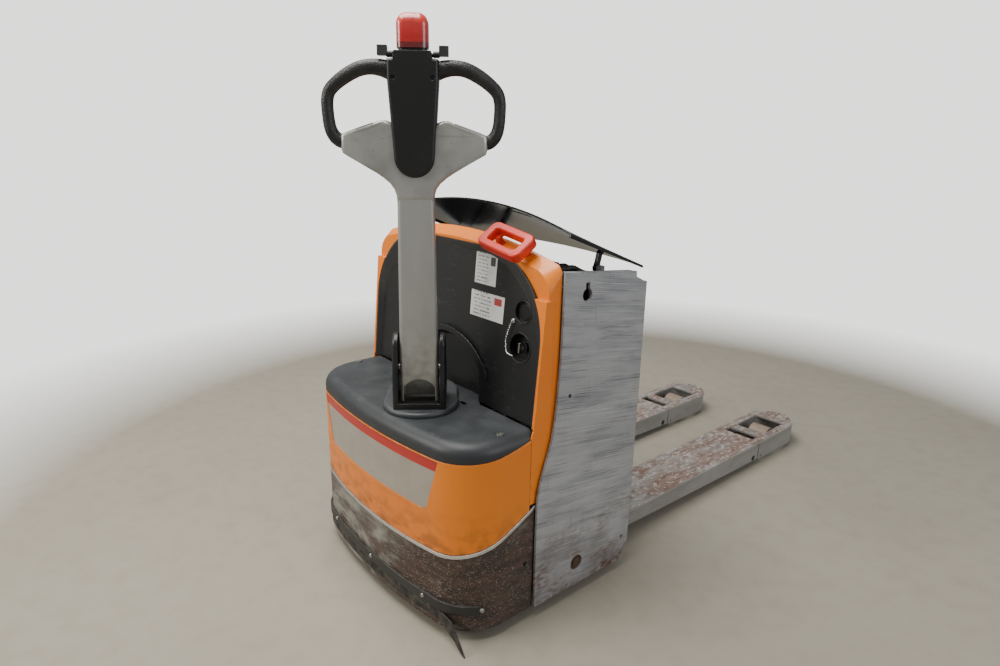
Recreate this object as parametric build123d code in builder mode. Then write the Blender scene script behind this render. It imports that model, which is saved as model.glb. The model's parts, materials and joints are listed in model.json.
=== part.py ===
"""Electric pallet truck: drive section, lifting fork frame, battery and tiller.

Origin on the floor under the middle of the truck, +Z up, +Y towards the fork tips,
+X to the truck's right as seen from the tiller.
"""

import os
from math import acos, asin, atan2, cos, degrees, radians, sin, sqrt

from build123d import *

os.makedirs("parts", exist_ok=True)


# ---------------------------------------------------------------- driving sizes
# overall plan
face_y = -257.8  # vertical fork face, from which the other lengths are taken
fork_length = 1150.0  # fork face to fork tip
head_length = 580.0  # fork face to the middle of the front
body_half = 351.0  # half width of the drive section
front_bow = 1450.0  # plan radius of the front
corner_r = 120.0  # plan radius of the two front corners

front_y = face_y - head_length
steer_y = front_y + 165.0  # vertical steering axis
console_y = front_y + 226.0  # console face at deck height
seam_y = front_y + 218.0  # seam between the bonnet and the hoop's legs
mast_y = front_y + 296.0  # back of everything that stays on the floor

# heights
apron_bottom = 30.0
bonnet_bottom = 215.0
deck_z = 496.0
hoop_top = 910.0
leg_top = deck_z - 16.0  # top of the hoop's legs, just under the deck
leg_foot = 313.0
frame_top = 310.0  # upper face of the plate that carries the drive unit

# sheet and wall thicknesses
apron_wall = 6.0
bonnet_wall = 4.5
deck_wall = 5.0
frame_wall = 8.0
lip = 1.5  # how far the apron's top rim stands proud

# fits and gaps
slip = 0.05  # radial clearance of a shaft in its bore
seam = 1.0  # visible joint between fixed covers

# lifting part
plate_out = 360.0  # outer faces of the side plates
plate_t = 6.0
load_front_y = mast_y + 9.0  # front of the battery box
box_wall = 5.0
lift_stroke = 125.0

# forks
fork_spread = 560.0
fork_width = 168.0
fork_top = 84.0
fork_plate = 8.0
fork_flange = 6.0
fork_mid = (fork_spread - fork_width) / 2.0
fork_heel_y = face_y - 60.0
tip_y = face_y + fork_length

# tiller
steer_angle = 52.4  # how far the tiller is turned from straight ahead
foot_reach = 97.0  # steering axis to tiller
pivot_z = 600.0

SIDES = (("left", -1.0), ("right", 1.0))


def save(part, name):
    """Label one piece and write its STEP file."""
    part.label = name
    export_step(part, "parts/" + name + ".step")


def body_outline(inset, back_y):
    """Draw the drive section's plan outline, moved inwards by inset."""
    half = body_half - inset
    bow = front_bow - inset
    corner = corner_r - inset
    cx = body_half - corner_r
    span = front_bow - corner_r
    bow_y = front_y + front_bow
    cy = bow_y - sqrt(span**2 - cx**2)
    ux = cx / span
    uy = (cy - bow_y) / span
    meet = (bow * ux, bow_y + bow * uy)
    middle = atan2(uy, ux) / 2.0
    turn = (cx + corner * cos(middle), cy + corner * sin(middle))
    Polyline((-half, cy), (-half, back_y), (half, back_y), (half, cy))
    ThreePointArc((half, cy), turn, meet)
    ThreePointArc(meet, (0, front_y + inset), (-meet[0], meet[1]))
    ThreePointArc((-meet[0], meet[1]), (-turn[0], turn[1]), (-half, cy))


def body_prism(inset, back_y, z0, z1, mode=Mode.ADD):
    """Add or cut the plan outline as a prism between two heights."""
    with BuildSketch(Plane.XY.offset(z0)) as face:
        with BuildLine():
            body_outline(inset, back_y)
        make_face()
    extrude(face.sketch, amount=z1 - z0, mode=mode)


def side_cut(points, arc, half=400.0):
    """Cut a side-view region: straight edges through points, closed by one arc."""
    with BuildSketch(Plane.YZ) as face:
        with BuildLine():
            Polyline(*points)
            ThreePointArc(*arc)
        make_face()
    extrude(face.sketch, amount=half, both=True, mode=Mode.SUBTRACT)


def keep_front(end_y):
    """Cut away everything behind end_y."""
    with Locations((0, end_y + 300.0, 250.0)):
        Box(900.0, 600.0, 600.0, mode=Mode.SUBTRACT)


def lower_arc(drop):
    """Side-view arc of the bonnet's lower edge, moved down by drop."""
    return (
        (front_y - 30.0, bonnet_bottom - 3.0 - drop),
        (front_y + 115.0, bonnet_bottom + 38.0 - drop),
        (seam_y + 20.0, bonnet_bottom + 96.0 - drop),
    )


def upper_arc(drop):
    """Side-view arc where the deck cover meets the bonnet."""
    return (
        (front_y - 30.0, 454.0 - drop),
        (front_y + 115.0, 459.0 - drop),
        (seam_y + 20.0, 481.0 - drop),
    )


# ---------------------------------------------------------------- drive frame
caster_x = 258.0
caster_y = steer_y
caster_shelf_z = 132.0
post_x = 190.0
post_y = mast_y - 13.0
post_r = 15.0
post_top = 640.0
cylinder_x = 146.0
cylinder_y = mast_y - 19.0
cylinder_r = 22.0
cylinder_top = 430.0
ram_r = 11.0
shelf_z = 60.0
bearing_r = 50.0
bearing_out = 75.0
bearing_h = 16.0

with BuildPart() as drive_frame:
    body_prism(apron_wall, mast_y - 2.0, frame_top - 10.0, frame_top)
    with BuildSketch(Plane.XY.offset(frame_top - 10.0)):
        with Locations((0, steer_y)):
            Circle(62.0)
    extrude(amount=10.0, mode=Mode.SUBTRACT)
    inner = body_half - apron_wall
    for name, s in SIDES:
        with Locations((s * (inner - frame_wall / 2), mast_y - 78.0, (shelf_z + frame_top) / 2)):
            Box(frame_wall, 152.0, frame_top - shelf_z)
        with Locations((s * (88.0 + inner) / 2, mast_y - 21.5, shelf_z + 5.0)):
            Box(inner - 88.0, 41.0, 10.0)
        with Locations((s * (caster_x + inner - 51.0) / 2, caster_y, caster_shelf_z + 5.0)):
            Box(inner - caster_x + 39.0, 110.0, 10.0)
        with Locations((s * (body_half - bonnet_wall - 3.0), seam_y - 45.0, frame_top - 5.0)):
            Box(6.0, 60.0, 10.0)
        with BuildSketch(Plane.XY.offset(shelf_z)):
            with Locations((s * post_x, post_y)):
                Circle(post_r)
        extrude(amount=post_top - shelf_z)
        with BuildSketch(Plane.XY.offset(shelf_z + 10.0)):
            with Locations((s * cylinder_x, cylinder_y)):
                Circle(cylinder_r)
        extrude(amount=frame_top - shelf_z, mode=Mode.SUBTRACT)
        with BuildSketch(Plane.XY.offset(caster_shelf_z - 1.0)):
            with Locations((s * caster_x, caster_y)):
                Circle(10.0 + slip)
        extrude(amount=12.0, mode=Mode.SUBTRACT)
    body_prism(apron_wall, seam_y - 40.0, 196.0, 204.0)
    body_prism(apron_wall + 22.0, seam_y + 10.0, 196.0, 204.0, Mode.SUBTRACT)
save(drive_frame.part, "drive_frame")

# ---------------------------------------------------------------- apron and foot guard
guard_z = 88.0  # height of the rivet line
strip_t = 3.0
skirt_t = 3.0
guard_end_y = front_y + 83.0
rivet_angles = (-64.0, 64.0)
rivet_x = (-212.0, 0.0, 212.0)
rivet_hole = 2.6

with BuildPart() as apron:
    body_prism(0.0, seam_y + 16.0, apron_bottom, 330.0)
    body_prism(apron_wall, seam_y + 30.0, apron_bottom - 1.0, 331.0, Mode.SUBTRACT)
    rim = lower_arc(seam)
    side_cut([rim[2], (seam_y + 20.0, 400.0), (front_y - 30.0, 400.0), rim[0]], rim)
    with BuildSketch(Plane.YZ):
        with Locations((seam_y - 9.0, 160.0)):
            Circle(6.0)
    extrude(amount=400.0, both=True, mode=Mode.SUBTRACT)
save(apron.part, "apron")

with BuildPart() as apron_rim:
    body_prism(-lip, seam_y + 16.0, apron_bottom + 100.0, 330.0)
    body_prism(0.0, seam_y + 30.0, apron_bottom, 331.0, Mode.SUBTRACT)
    rim = lower_arc(seam)
    side_cut([rim[2], (seam_y + 20.0, 400.0), (front_y - 30.0, 400.0), rim[0]], rim)
    rim = lower_arc(seam + 8.0)
    side_cut([rim[2], (seam_y + 20.0, 0.0), (front_y - 30.0, 0.0), rim[0]], rim)
save(apron_rim.part, "apron_rim")


def rivet_places():
    """Planes of the five rivets, on the apron and looking outwards."""
    places = []
    bow_y = front_y + front_bow
    for x in rivet_x:
        a = asin(x / front_bow)
        point = (x, bow_y - front_bow * cos(a), guard_z)
        places.append(Plane(origin=point, z_dir=(sin(a), -cos(a), 0)))
    cx = body_half - corner_r
    cy = bow_y - sqrt((front_bow - corner_r) ** 2 - cx**2)
    for angle in rivet_angles:
        a = radians(angle)
        side = 1.0 if angle > 0 else -1.0
        point = (side * cx + corner_r * sin(a), cy - corner_r * cos(a), guard_z)
        places.append(Plane(origin=point, z_dir=(sin(a), -cos(a), 0)))
    return places


with BuildPart() as rubber_skirt:
    body_prism(-skirt_t, seam_y, 46.0, guard_z + 10.0)
    body_prism(0.0, seam_y + 20.0, 40.0, guard_z + 20.0, Mode.SUBTRACT)
    keep_front(guard_end_y)
    with Locations((330.0, front_y + 60.0, 58.0)):
        Box(124.0, 200.0, 32.0, mode=Mode.SUBTRACT)
    for place in rivet_places():
        with BuildSketch(place):
            Circle(rivet_hole)
        extrude(amount=20.0, mode=Mode.SUBTRACT)
    tail = Plane(origin=(268.0, front_y + 24.0, 0), x_dir=(1, 0.02, 0), z_dir=(0.02, -1, 0))
    with BuildSketch(tail):
        with BuildLine():
            Polyline((-6, 73), (-6, 46), (50, 24), (84, 0.5), (91, 0.5), (64, 40), (40, 66), (-6, 73))
        make_face()
    extrude(amount=3.0)
save(rubber_skirt.part, "rubber_skirt")

with BuildPart() as guard_strip:
    body_prism(-skirt_t - strip_t, seam_y, guard_z - 12.0, guard_z + 11.0)
    body_prism(-skirt_t, seam_y + 20.0, 40.0, guard_z + 20.0, Mode.SUBTRACT)
    keep_front(guard_end_y - 1.0)
    for place in rivet_places():
        with BuildSketch(place):
            Circle(rivet_hole)
        extrude(amount=20.0, mode=Mode.SUBTRACT)
save(guard_strip.part, "guard_strip")

# ---------------------------------------------------------------- bonnet, emblem, deck
emblem_top = 449.0
emblem_bottom = 318.0
emblem_sink = 1.0
emblem_t = 2.0


def emblem_prism(grow):
    """Make the emblem's front view, grown by grow, as a prism through the bonnet's front."""
    with BuildSketch(Plane.XZ.offset(-front_y - 60.0)) as face:
        with BuildLine():
            Polyline(
                (-262 - grow, emblem_top + grow),
                (262 + grow, emblem_top + grow),
                (222 + grow, emblem_bottom - grow),
                (-222 - grow, emblem_bottom - grow),
                (-262 - grow, emblem_top + grow),
            )
        make_face()
        fillet(face.vertices().group_by(Axis.Y)[0], 16.0)
    return extrude(face.sketch, amount=80.0, mode=Mode.PRIVATE)


with BuildPart() as emblem_pocket:
    body_prism(-20.0, seam_y, 200.0, 500.0)
    body_prism(emblem_sink + emblem_t, seam_y + 20.0, 199.0, 501.0, Mode.SUBTRACT)
    add(emblem_prism(0.4), mode=Mode.INTERSECT)

with BuildPart() as bonnet:
    body_prism(0.0, seam_y, 100.0, 520.0)
    body_prism(bonnet_wall, seam_y + 20.0, 99.0, 521.0, Mode.SUBTRACT)
    rim = lower_arc(0.0)
    side_cut([rim[2], (seam_y + 20.0, 0.0), (front_y - 30.0, 0.0), rim[0]], rim)
    rim = upper_arc(seam)
    side_cut([rim[2], (seam_y + 20.0, 700.0), (front_y - 30.0, 700.0), rim[0]], rim)
    add(emblem_pocket.part, mode=Mode.SUBTRACT)
save(bonnet.part, "bonnet")

with BuildPart() as emblem_plate:
    body_prism(emblem_sink, seam_y, 200.0, 500.0)
    body_prism(emblem_sink + emblem_t, seam_y + 20.0, 199.0, 501.0, Mode.SUBTRACT)
    add(emblem_prism(0.0), mode=Mode.INTERSECT)
save(emblem_plate.part, "emblem_plate")

alcove_half = 156.0
alcove_back = 100.0
alcove_y = mast_y - 28.0
cover_hole_r = 80.0
screw_x = 315.0
screw_y = steer_y - 9.0

deck_roll = 30.0  # radius over which the deck's top rolls into its side

with BuildPart() as deck_hollow:
    body_prism(deck_wall + seam, console_y - 1.0, 399.0, deck_z - deck_wall)
    top = deck_hollow.faces().sort_by(Axis.Z)[-1].edges()
    fillet(top.filter_by(lambda e: e.center().Y < console_y - 10.0), deck_roll - deck_wall)

with BuildPart() as deck_cover:
    body_prism(seam, console_y + 4.0, 400.0, deck_z)
    top = deck_cover.faces().sort_by(Axis.Z)[-1].edges()
    fillet(top.filter_by(lambda e: e.center().Y < console_y - 10.0), deck_roll)
    add(deck_hollow.part, mode=Mode.SUBTRACT)
    rim = upper_arc(0.0)
    side_cut([rim[2], (seam_y + 20.0, 300.0), (front_y - 30.0, 300.0), rim[0]], rim)
    with Locations((0, seam_y + 51.0, leg_top - 39.0)):
        Box(900.0, 100.0, 80.0, mode=Mode.SUBTRACT)
    with BuildSketch(Plane.XY.offset(deck_z - deck_wall)):
        with BuildLine():
            Polyline(
                (-alcove_half, console_y),
                (-alcove_back, alcove_y),
                (alcove_back, alcove_y),
                (alcove_half, console_y),
                (-alcove_half, console_y),
            )
        make_face()
    extrude(amount=deck_wall)
    with BuildSketch(Plane.XY.offset(deck_z - 40.0)):
        with Locations((0, steer_y)):
            Circle(cover_hole_r)
    extrude(amount=60.0, mode=Mode.SUBTRACT)
    for name, s in SIDES:
        with BuildSketch(Plane.XY.offset(deck_z - deck_wall)):
            with Locations((s * screw_x, screw_y)):
                Circle(3.2)
            with Locations((s * 118.0, console_y - 22.0)):
                SlotOverall(24.0, 11.0)
        extrude(amount=deck_wall, mode=Mode.SUBTRACT)
save(deck_cover.part, "deck_cover")

# ---------------------------------------------------------------- console and hoop
lean = 5.4  # how far the console leans back, degrees
console_top = 388.0  # along the console face, from the deck
console = Plane(
    origin=(0, console_y, deck_z),
    x_dir=(1, 0, 0),
    z_dir=(0, -cos(radians(lean)), sin(radians(lean))),
)


def arch(plane, half, crest, corner, foot=0.0):
    """Return a round-cornered arch: straight legs, two corner arcs and a flat top."""
    with BuildSketch(plane) as face:
        with BuildLine():
            Polyline((-half, crest - corner), (-half, foot), (half, foot), (half, crest - corner))
            RadiusArc((half, crest - corner), (half - corner, crest), -corner)
            Line((half - corner, crest), (corner - half, crest))
            RadiusArc((corner - half, crest), (-half, crest - corner), -corner)
        make_face()
    return face.sketch


opening_half = 343.0
opening_corner = 200.0
dish_half = 330.0
dish_crest = console_top - 20.0
dish_corner = 224.0
dish_depth = 12.0
panel_t = 4.0
gauge_v = 255.0
gauge_r = 28.5
gauge_x = 293.5 - gauge_r  # clear of the bezel
key_v = 171.0
key_r = 37.0
key_x = 302.0 - key_r

dish_back = console.offset(-dish_depth)
panel_back = console.offset(-dish_depth - panel_t)

with BuildPart() as dish:
    front = arch(console.offset(0.1), opening_half - 3.0, console_top - 3.0, opening_corner, -30.0)
    back = arch(dish_back, dish_half, dish_crest, dish_corner, -30.0)
    loft([front, back], ruled=True)
    extrude(back, amount=-panel_t - 1.0)

with BuildPart() as console_bezel:
    extrude(arch(panel_back, opening_half, console_top, opening_corner), amount=dish_depth + panel_t)
    add(dish.part, mode=Mode.SUBTRACT)
    with Locations((0, console_y, deck_z - 50.0)):
        Box(900.0, 200.0, 100.0, mode=Mode.SUBTRACT)
save(console_bezel.part, "console_bezel")


def alcove(half, crest, y):
    """Return one end of the alcove that the tiller's foot swings in."""
    spring = crest - half * 0.55
    with BuildSketch(Plane.XZ.offset(-y)) as face:
        with BuildLine():
            Polyline((-half, spring), (-half, deck_z - 4.0), (half, deck_z - 4.0), (half, spring))
            ThreePointArc((half, spring), (0, crest), (-half, spring))
        make_face()
    return face.sketch


alcove_crest = 657.0
alcove_wall = 4.0

with BuildPart() as alcove_outer:
    front = alcove(alcove_half + alcove_wall, alcove_crest + alcove_wall, console_y + 17.0)
    back = alcove(alcove_back + alcove_wall, alcove_crest - 20.0, alcove_y + alcove_wall)
    loft([front, back], ruled=True)

with BuildPart() as alcove_inner:
    front = alcove(alcove_half + 6.0, alcove_crest + 4.0, console_y - 10.0)
    back = alcove(alcove_back, alcove_crest - 24.0, alcove_y)
    loft([front, back], ruled=True)

with BuildPart() as console_panel:
    extrude(arch(panel_back, dish_half - 0.1, dish_crest - 0.1, dish_corner), amount=panel_t)
    with BuildSketch(panel_back):
        with Locations((gauge_x, gauge_v)):
            Circle(gauge_r + 0.1)
        with Locations((key_x, key_v)):
            Circle(key_r + 0.1)
    extrude(amount=panel_t, mode=Mode.SUBTRACT)
    add(alcove_outer.part)
    add(alcove_inner.part, mode=Mode.SUBTRACT)
    with Locations((0, console_y, deck_z - 50.0)):
        Box(900.0, 200.0, 100.0, mode=Mode.SUBTRACT)
save(console_panel.part, "console_panel")

hoop_bow = 1300.0
handle_x = 209.0
handle_y = mast_y - 31.0
handle_z = hoop_top - 20.0
handle_tilt = 36.0
handle_w = 138.0
handle_d = 73.0
handle_h = 24.0
leg_w = 16.0
leg_d = 12.0
leg_x = 44.0
handle_roll = 9.0
handle_plane = Plane(
    origin=(handle_x, handle_y, handle_z),
    x_dir=(cos(radians(handle_roll)), 0, -sin(radians(handle_roll))),
    z_dir=(
        sin(radians(handle_roll)) * cos(radians(handle_tilt)),
        -sin(radians(handle_tilt)),
        cos(radians(handle_roll)) * cos(radians(handle_tilt)),
    ),
)


def bowed(plane, half, crest, foot, corner, bow=hoop_bow):
    """Return a front view with straight legs, rounded shoulders and a bowed top."""
    drop = bow - sqrt(bow**2 - half**2)
    with BuildSketch(plane) as face:
        with BuildLine():
            Polyline((-half, crest - drop), (-half, foot), (half, foot), (half, crest - drop))
            ThreePointArc((half, crest - drop), (0, crest), (-half, crest - drop))
        make_face()
        fillet(face.vertices().group_by(Axis.Y)[-1], corner)
    return face.sketch



with BuildPart() as console_hoop:
    rear = bowed(Plane.XZ.offset(-mast_y + 1.0), body_half, hoop_top, leg_top, 22.0)
    front = bowed(Plane.XZ.offset(-mast_y + 34.0), body_half - 3.0, hoop_top - 20.0, leg_top, 60.0)
    loft([rear, front], ruled=True)
    with Locations((0, (seam_y + mast_y) / 2, (leg_top + leg_foot) / 2)):
        Box(2 * body_half, mast_y - seam_y - 2.0, leg_top - leg_foot)
    with BuildSketch(Plane.YZ):
        with BuildLine():
            Polyline(
                (mast_y - 20.0, leg_top),
                (seam_y + 1.0, leg_top),
                (console_y - 1.0, deck_z),
                (console_y + 26.0, 790.0),
                (mast_y - 20.0, 790.0),
                (mast_y - 20.0, leg_top),
            )
        make_face()
    extrude(amount=body_half, both=True)
    opening = arch(console.offset(-90.0), opening_half, console_top, opening_corner, -30.0)
    extrude(opening, amount=120.0, mode=Mode.SUBTRACT)
    with Locations((0, (seam_y + mast_y) / 2, 400.0)):
        Box(2 * (body_half - bonnet_wall), mast_y - seam_y + 20.0, 200.0, mode=Mode.SUBTRACT)
    with BuildSketch(handle_plane.offset(-40.0)):
        with Locations((-leg_x, 8.0), (leg_x, 8.0)):
            Rectangle(leg_w + 0.4, leg_d + 0.4)
    extrude(amount=80.0, mode=Mode.SUBTRACT)
save(console_hoop.part, "console_hoop")

# ---------------------------------------------------------------- console fittings
with BuildPart() as stop_handle:
    with BuildSketch(handle_plane.offset(2.2)):
        RectangleRounded(handle_w, handle_d, 17.0)
        RectangleRounded(handle_w - 42.0, handle_d - 38.0, 7.0, mode=Mode.SUBTRACT)
    extrude(amount=handle_h)
    fillet(stop_handle.edges().filter_by(handle_plane), 4.5)
    with BuildSketch(handle_plane.offset(2.2)):
        with Locations((-leg_x, 8.0), (leg_x, 8.0)):
            Rectangle(leg_w, leg_d)
        with Locations((-leg_x, 20.0), (leg_x, 20.0)):
            Rectangle(leg_w, 16.0)
    extrude(amount=6.0)
    with BuildSketch(handle_plane.offset(2.2)):
        with Locations((-leg_x, 8.0), (leg_x, 8.0)):
            Rectangle(leg_w, leg_d)
    extrude(amount=-24.0)
save(stop_handle.part, "stop_handle")


def cup(x, v, radius, depth, bore, bore_depth):
    """Return a round fitting let into the console panel, open to the front."""
    with BuildPart() as body:
        with BuildSketch(dish_back.offset(1.0 - depth)):
            with Locations((x, v)):
                Circle(radius)
        extrude(amount=depth)
        with BuildSketch(dish_back.offset(1.0 - bore_depth)):
            with Locations((x, v)):
                Circle(bore)
        extrude(amount=bore_depth, mode=Mode.SUBTRACT)
    return body.part


gauge_depth = 20.0
lens_r = 18.0
with BuildPart() as battery_gauge:
    add(cup(gauge_x, gauge_v, gauge_r, gauge_depth, gauge_r - 4.0, 10.0))
    with BuildSketch(dish_back.offset(-9.0)):
        with Locations((gauge_x, gauge_v)):
            Circle(lens_r)
    extrude(amount=3.0)
save(battery_gauge.part, "battery_gauge")

key_depth = 30.0
key_bore = 4.0
barrel_r = 12.0
with BuildPart() as key_switch:
    add(cup(key_x, key_v, key_r, key_depth, key_r - 4.0, 22.0))
    with BuildSketch(dish_back.offset(-21.0)):
        with Locations((key_x, key_v)):
            Circle(barrel_r)
    extrude(amount=10.0)
    with BuildSketch(dish_back.offset(-24.0)):
        with Locations((key_x, key_v)):
            Circle(key_bore + slip)
    extrude(amount=20.0, mode=Mode.SUBTRACT)
save(key_switch.part, "key_switch")

with BuildPart() as key:
    with BuildSketch(dish_back.offset(-23.5)):
        with Locations((key_x, key_v)):
            Circle(key_bore)
    extrude(amount=15.5)
    with Locations(dish_back.offset(-4.0)):
        with Locations((key_x, key_v, 0)):
            Box(4.0, 25.0, 14.0)
    fillet(key.edges().filter_by(Axis.X), 1.0)
save(key.part, "key")

with BuildPart() as screws_and_rivets:
    for place in rivet_places():
        with BuildSketch(place):
            Circle(rivet_hole - 0.1)
        extrude(amount=skirt_t + strip_t + 1.0)
        with BuildSketch(place.offset(skirt_t + strip_t + 0.15)):
            Circle(6.0)
        extrude(amount=2.6, taper=35)
    for name, s in SIDES:
        with BuildSketch(Plane.XY.offset(deck_z - 14.0)):
            with Locations((s * screw_x, screw_y)):
                Circle(3.0)
        extrude(amount=14.0)
        with BuildSketch(Plane.XY.offset(deck_z)):
            with Locations((s * screw_x, screw_y)):
                Circle(8.0)
        extrude(amount=3.5)
        with BuildSketch(Plane.XY.offset(deck_z + 1.5)):
            with Locations((s * screw_x, screw_y)):
                RegularPolygon(3.4, 6)
        extrude(amount=3.0, mode=Mode.SUBTRACT)
save(screws_and_rivets.part, "screws_and_rivets")

# ---------------------------------------------------------------- hydraulics and electrics
ram_top = 452.0
with BuildPart() as lift_cylinders:
    for name, s in SIDES:
        with BuildSketch(Plane.XY.offset(shelf_z + 10.0)):
            with Locations((s * cylinder_x, cylinder_y)):
                Circle(cylinder_r - 0.02)
        extrude(amount=cylinder_top - shelf_z - 10.0)
        with BuildSketch(Plane.XY.offset(shelf_z + 30.0)):
            with Locations((s * cylinder_x, cylinder_y)):
                Circle(ram_r + slip)
        extrude(amount=cylinder_top - shelf_z, mode=Mode.SUBTRACT)
save(lift_cylinders.part, "lift_cylinders")

with BuildPart() as lift_rams:
    for name, s in SIDES:
        with BuildSketch(Plane.XY.offset(shelf_z + 40.0)):
            with Locations((s * cylinder_x, cylinder_y)):
                Circle(ram_r)
        extrude(amount=ram_top - shelf_z - 40.0)
save(lift_rams.part, "lift_rams")

with BuildPart() as power_pack:
    with Locations((-205.0, steer_y - 45.0, frame_top + 45.0)):
        Box(110.0, 110.0, 90.0)
    fillet(power_pack.edges().filter_by(Axis.Z), 12.0)
    with BuildSketch(Plane.XY.offset(frame_top)):
        with Locations((-205.0, steer_y + 55.0)):
            Circle(42.0)
    extrude(amount=120.0)
    with Locations((-205.0, steer_y + 10.0, frame_top + 20.0)):
        Box(50.0, 60.0, 30.0)
    with Locations((-205.0, steer_y - 45.0, frame_top + 94.0)):
        Cylinder(12.0, 12.0)
save(power_pack.part, "power_pack")

controller_y = steer_y - 12.0
with BuildPart() as controller:
    with Locations((205.0, controller_y, frame_top + 30.0)):
        Box(120.0, 190.0, 60.0)
    with Locations((205.0, controller_y, frame_top + 72.0)):
        with GridLocations(12.0, 0, 10, 1):
            Box(4.0, 180.0, 24.0)
    with Locations((205.0, controller_y - 104.0, frame_top + 30.0)):
        Box(70.0, 18.0, 34.0)
save(controller.part, "controller")

with BuildPart() as steering_bearing:
    with BuildSketch(Plane.XY.offset(frame_top)):
        with Locations((0, steer_y)):
            Circle(bearing_out)
            Circle(bearing_r + slip, mode=Mode.SUBTRACT)
    extrude(amount=bearing_h)
    with BuildSketch(Plane.XY.offset(frame_top + bearing_h - 2.0)):
        with Locations((0, steer_y)):
            Circle(bearing_r + 10.0)
            Circle(bearing_r + 7.0, mode=Mode.SUBTRACT)
    extrude(amount=4.0, mode=Mode.SUBTRACT)
save(steering_bearing.part, "steering_bearing")

# ---------------------------------------------------------------- casters
caster_r = 50.0
caster_w = 34.0
caster_trail = 28.0
caster_axle = 6.0
for name, s in SIDES:
    place = Plane(origin=(s * caster_x, caster_y, 0))
    with BuildPart() as caster_fork:
        with BuildSketch(place.offset(112.0)):
            RectangleRounded(56.0, 60.0, 12.0)
        extrude(amount=6.0)
        with BuildSketch(place.offset(118.0)):
            Circle(24.0)
        extrude(amount=caster_shelf_z - 118.0)
        with BuildSketch(place.offset(caster_shelf_z)):
            Circle(10.0)
        extrude(amount=12.0)
        with BuildSketch(Plane(origin=(s * caster_x, caster_y, 0), x_dir=(0, 1, 0), z_dir=(1, 0, 0))):
            with BuildLine():
                Polyline((-26, 114), (26, 114), (caster_trail + 11, 52))
                ThreePointArc((caster_trail + 11, 52), (caster_trail, 39), (caster_trail - 11, 52))
                Line((caster_trail - 11, 52), (-26, 114))
            make_face()
        extrude(amount=caster_w / 2 + 6.5, both=True)
        with Locations((s * caster_x, caster_y + 10.0, 55.0)):
            Box(caster_w + 4.0, 160.0, 114.0, mode=Mode.SUBTRACT)
        with BuildSketch(Plane(origin=(s * caster_x, caster_y, 0), x_dir=(0, 1, 0), z_dir=(1, 0, 0))):
            with Locations((caster_trail, caster_r)):
                Circle(caster_axle)
        extrude(amount=caster_w / 2 + 8.0, both=True)
    save(caster_fork.part, "caster_fork_" + name)

    with BuildPart() as caster_wheel:
        with BuildSketch(Plane(origin=(s * caster_x, caster_y, 0), x_dir=(0, 1, 0), z_dir=(1, 0, 0))):
            with Locations((caster_trail, caster_r)):
                Circle(caster_r)
                Circle(caster_axle + slip, mode=Mode.SUBTRACT)
        extrude(amount=caster_w / 2, both=True)
        rims = caster_wheel.edges().filter_by(GeomType.CIRCLE).filter_by(lambda e: e.radius > 40.0)
        fillet(rims, 6.0)
    save(caster_wheel.part, "caster_wheel_" + name)

# ---------------------------------------------------------------- drive unit
wheel_r = 115.0
wheel_w = 75.0
tyre_t = 22.0
axle_r = 14.0
motor_r = 70.0
motor_top = 450.0
brake_top = 497.0
cap_z = 497.0
cap_t = 12.0
cap_r = 90.0
cap_foot_r = 92.5
cap_foot = 77.0
steer_origin = Plane(origin=(0, steer_y, 0))
turned = steer_origin.rotated((0, 0, steer_angle))
wheel_plane = Plane(
    origin=turned.from_local_coords(Vector(0, 0, wheel_r)),
    x_dir=turned.y_dir,
    z_dir=turned.x_dir,
)

with BuildPart() as gearbox:
    with BuildSketch(turned.offset(62.0)):
        with Locations((70.0, 0)):
            RectangleRounded(50.0, 104.0, 16.0)
    extrude(amount=190.0)
    with BuildSketch(turned.offset(236.0)):
        Circle(92.0)
    extrude(amount=50.0)
    fillet(gearbox.edges().group_by(Axis.Z)[-1], 8.0)
    with BuildSketch(turned.offset(286.0)):
        Circle(bearing_r)
    extrude(amount=frame_top + bearing_h + 1.0 - 286.0)
    with BuildSketch(wheel_plane.offset(30.0)):
        Circle(axle_r + slip)
    extrude(amount=52.0, mode=Mode.SUBTRACT)
save(gearbox.part, "gearbox")

with BuildPart() as drive_hub:
    with BuildSketch(wheel_plane.offset(-wheel_w / 2)):
        Circle(wheel_r - tyre_t)
    extrude(amount=wheel_w)
    with BuildSketch(wheel_plane.offset(-wheel_w / 2)):
        Circle(wheel_r - tyre_t - 12.0)
        Circle(28.0, mode=Mode.SUBTRACT)
    extrude(amount=24.0, mode=Mode.SUBTRACT)
    with BuildSketch(wheel_plane.offset(wheel_w / 2)):
        Circle(axle_r)
    extrude(amount=44.0)
    with BuildSketch(wheel_plane.offset(-wheel_w / 2 + 24.0)):
        with PolarLocations(52.0, 5):
            Circle(6.0)
    extrude(amount=-8.0)
save(drive_hub.part, "drive_hub")

with BuildPart() as drive_tyre:
    with BuildSketch(wheel_plane.offset(-wheel_w / 2)):
        Circle(wheel_r)
        Circle(wheel_r - tyre_t, mode=Mode.SUBTRACT)
    extrude(amount=wheel_w)
    rims = drive_tyre.edges().filter_by(GeomType.CIRCLE).filter_by(lambda e: e.radius > wheel_r - 5.0)
    fillet(rims, 5.0)
save(drive_tyre.part, "drive_tyre")

with BuildPart() as drive_motor:
    with BuildSketch(turned.offset(frame_top + bearing_h + 1.0)):
        Circle(motor_r)
    extrude(amount=motor_top - frame_top - bearing_h - 1.0)
    with BuildSketch(turned.offset(frame_top + bearing_h + 12.0)):
        Circle(motor_r + 1.0)
        Circle(motor_r - 3.0, mode=Mode.SUBTRACT)
    extrude(amount=6.0, mode=Mode.SUBTRACT)
    with BuildSketch(turned.offset(motor_top)):
        Circle(52.0)
    extrude(amount=brake_top - motor_top)
save(drive_motor.part, "drive_motor")

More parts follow.
